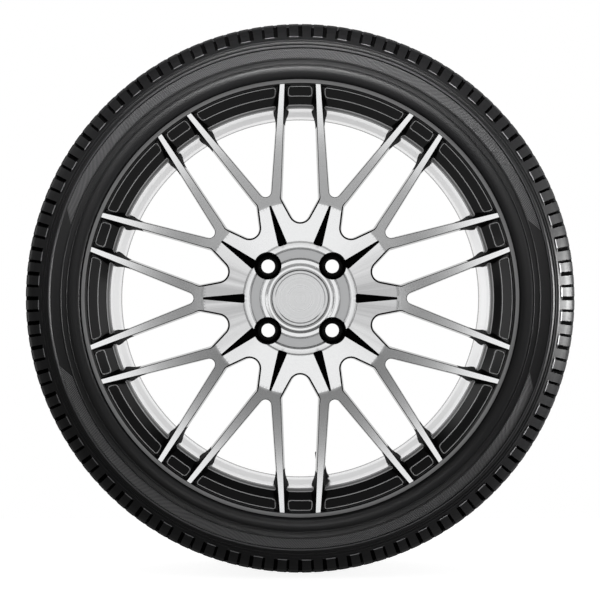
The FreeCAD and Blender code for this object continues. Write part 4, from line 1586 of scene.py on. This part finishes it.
@dataclass(frozen=True)
class Studio:
    """Floor, light and camera, in metres."""

    floor: float = -0.3019
    floor_side: float = 4.0
    floor_front: float = -1.2
    floor_rear: float = 0.5
    floor_grey: float = 0.4
    floor_rough: float = 0.9
    floor_glow: float = 0.9
    floor_shine: float = 0.24
    camera_gap: float = 2.2
    camera_side: float = -0.0002
    camera_height: float = -0.0018
    lens: float = 122.98
    sensor: float = 36.0
    face: float = -0.10725

    DEPTH_STOPS = ((-1.0, 1.02), (-0.968, 0.99), (-0.943, 0.38), (-0.8, 0.215), (-0.62, 0.205), (-0.42, 0.04),
                   (0.5, 0.03), (0.8, 0.95))
    SIDE_STOPS = ((-0.96, 0.1), (-0.84, 1.3), (-0.77, 1.2), (-0.68, 0.0), (0.68, 0.0), (0.77, 0.6), (0.84, 0.8),
                  (0.98, 1.2))
    HEIGHT_STOPS = ((0.45, 0.0), (0.75, 0.03), (1.0, 0.1))
    TOP_LAMP = Lamp("top_light", (0.0, -0.75, 1.25), (0.0, -0.1, 0.2), (2.0, 1.0), 3.0)
    TYRE_LAMPS = (Lamp("tyre_light_high", (0.0, -1.6, 1.1), (0.0, -0.1, 0.45), (1.2, 0.5), 10.5, 34.0),
                  Lamp("tyre_light_low", (0.0, -1.9, -0.2), (0.0, -0.1, -0.5), (0.7, 0.12), 0.9, 24.0),
                  Lamp("tyre_light_side", (1.8, -0.3, 0.02), (0.29, -0.1, 0.0), (0.8, 0.3), 9.0, 40.0))

    @staticmethod
    def _graded(tree: bpy.types.NodeTree, along: bpy.types.NodeSocket,
                stops: tuple[tuple[float, float], ...]) -> bpy.types.NodeSocket:
        """Grade the surroundings along one axis.

        Args:
            tree: Nodes of the world.
            along: Direction's part along the axis.
            stops: (part, level) pairs.

        Returns:
            The level's socket.
        """
        scale = tree.nodes.new("ShaderNodeMapRange")
        scale.inputs["From Min"].default_value = -1.0
        tree.links.new(along, scale.inputs["Value"])
        ramp = tree.nodes.new("ShaderNodeValToRGB")
        ramp.color_ramp.interpolation = "EASE"
        while len(ramp.color_ramp.elements) < len(stops):
            ramp.color_ramp.elements.new(0.5)
        for element, (spot, level) in zip(ramp.color_ramp.elements, stops):
            element.position = 0.5 + 0.5 * spot
            element.color = (level, level, level, 1.0)
        tree.links.new(scale.outputs[0], ramp.inputs[0])
        return ramp.outputs["Color"]

    def _world(self) -> None:
        """Grade the surroundings: bright round the camera and behind the wheel, dim to the sides."""
        world = bpy.data.worlds.new("studio")
        bpy.context.scene.world = world
        world.use_nodes = True
        tree = world.node_tree
        nodes, links = tree.nodes, tree.links
        split = nodes.new("ShaderNodeSeparateXYZ")
        links.new(nodes.new("ShaderNodeTexCoord").outputs["Generated"], split.inputs[0])
        total = self._graded(tree, split.outputs["Y"], self.DEPTH_STOPS)
        for axis, stops in (("X", self.SIDE_STOPS), ("Z", self.HEIGHT_STOPS)):
            add = nodes.new("ShaderNodeMix")
            add.data_type = "RGBA"
            add.blend_type = "ADD"
            add.inputs["Factor"].default_value = 1.0
            links.new(total, add.inputs["A"])
            links.new(self._graded(tree, split.outputs[axis], stops), add.inputs["B"])
            total = add.outputs["Result"]
        back = nodes["Background"]
        links.new(total, back.inputs["Color"])
        back.inputs["Strength"].default_value = 1.0
        bright = nodes.new("ShaderNodeBackground")
        bright.inputs["Color"].default_value = (1.0, 1.0, 1.0, 1.0)
        mix = nodes.new("ShaderNodeMixShader")
        links.new(nodes.new("ShaderNodeLightPath").outputs["Is Camera Ray"], mix.inputs[0])
        links.new(back.outputs[0], mix.inputs[1])
        links.new(bright.outputs[0], mix.inputs[2])
        links.new(mix.outputs[0], nodes["World Output"].inputs["Surface"])

    def _floor(self) -> None:
        """Lay the pale floor."""
        mesh = bpy.data.meshes.new("studio_floor")
        corners = ((-self.floor_side, self.floor_front), (self.floor_side, self.floor_front),
                   (self.floor_side, self.floor_rear), (-self.floor_side, self.floor_rear))
        mesh.from_pydata([(*corner, self.floor) for corner in corners], [], [(0, 1, 2, 3)])
        shader = Shader("pale_floor", (self.floor_grey, self.floor_grey, self.floor_grey), self.floor_rough)
        shader.set({"Emission Color": (1.0, 1.0, 1.0, 1.0)})
        glow = shader.nodes.new("ShaderNodeMath")
        glow.operation = "MULTIPLY_ADD"
        glow.inputs[1].default_value = self.floor_glow - self.floor_shine
        glow.inputs[2].default_value = self.floor_shine
        path = shader.nodes.new("ShaderNodeLightPath")
        shader.links.new(path.outputs["Is Camera Ray"], glow.inputs[0])
        shader.links.new(glow.outputs[0], shader.main.inputs["Emission Strength"])
        mesh.materials.append(shader.material)
        floor = bpy.data.objects.new("studio_floor", mesh)
        bpy.context.scene.collection.objects.link(floor)

    def _camera(self) -> None:
        """Set the camera straight in front of the spoke face."""
        camera = bpy.data.cameras.new("photo_camera")
        camera.sensor_width = self.sensor
        camera.sensor_fit = "HORIZONTAL"
        camera.lens = self.lens
        holder = bpy.data.objects.new("photo_camera", camera)
        holder.location = (self.camera_side, self.face - self.camera_gap, self.camera_height)
        holder.rotation_euler = (math.pi / 2, 0.0, 0.0)
        bpy.context.scene.collection.objects.link(holder)
        bpy.context.scene.camera = holder

    def build(self, tyre: bpy.types.Object) -> None:
        """Set up the whole studio.

        Args:
            tyre: Piece that the shaded lamps light alone.
        """
        view = bpy.context.scene.view_settings
        view.view_transform = "Standard"
        view.look = "None"
        self._world()
        self._floor()
        self.TOP_LAMP.build().visible_glossy = False
        lit = bpy.data.collections.new("tyre_only")
        lit.objects.link(tyre)
        for lamp in self.TYRE_LAMPS:
            lamp.build().light_linking.receiver_collection = lit
        self._camera()


def main() -> None:
    """Build the pieces in order and set the studio round them."""
    logging.basicConfig(level=logging.INFO)
    finishes = Finishes(Effects())
    disc = SpokedDisc()
    settle(disc.build(finishes), "wheel", Slot.ALLOY, "alloy_wheel")
    settle(Rim().build(finishes, disc), "wheel", Slot.ALLOY, "alloy_wheel")
    tyre = Tyre().build(finishes)
    settle(tyre, "wheel", Slot.TYRE, "tyre")
    settle(ValveCap().build(finishes), "valve_cap", Slot.PLASTIC, "valve_cap")
    dress_nodes(finishes)
    Studio().build(tyre)


if __name__ == "__main__":
    main()
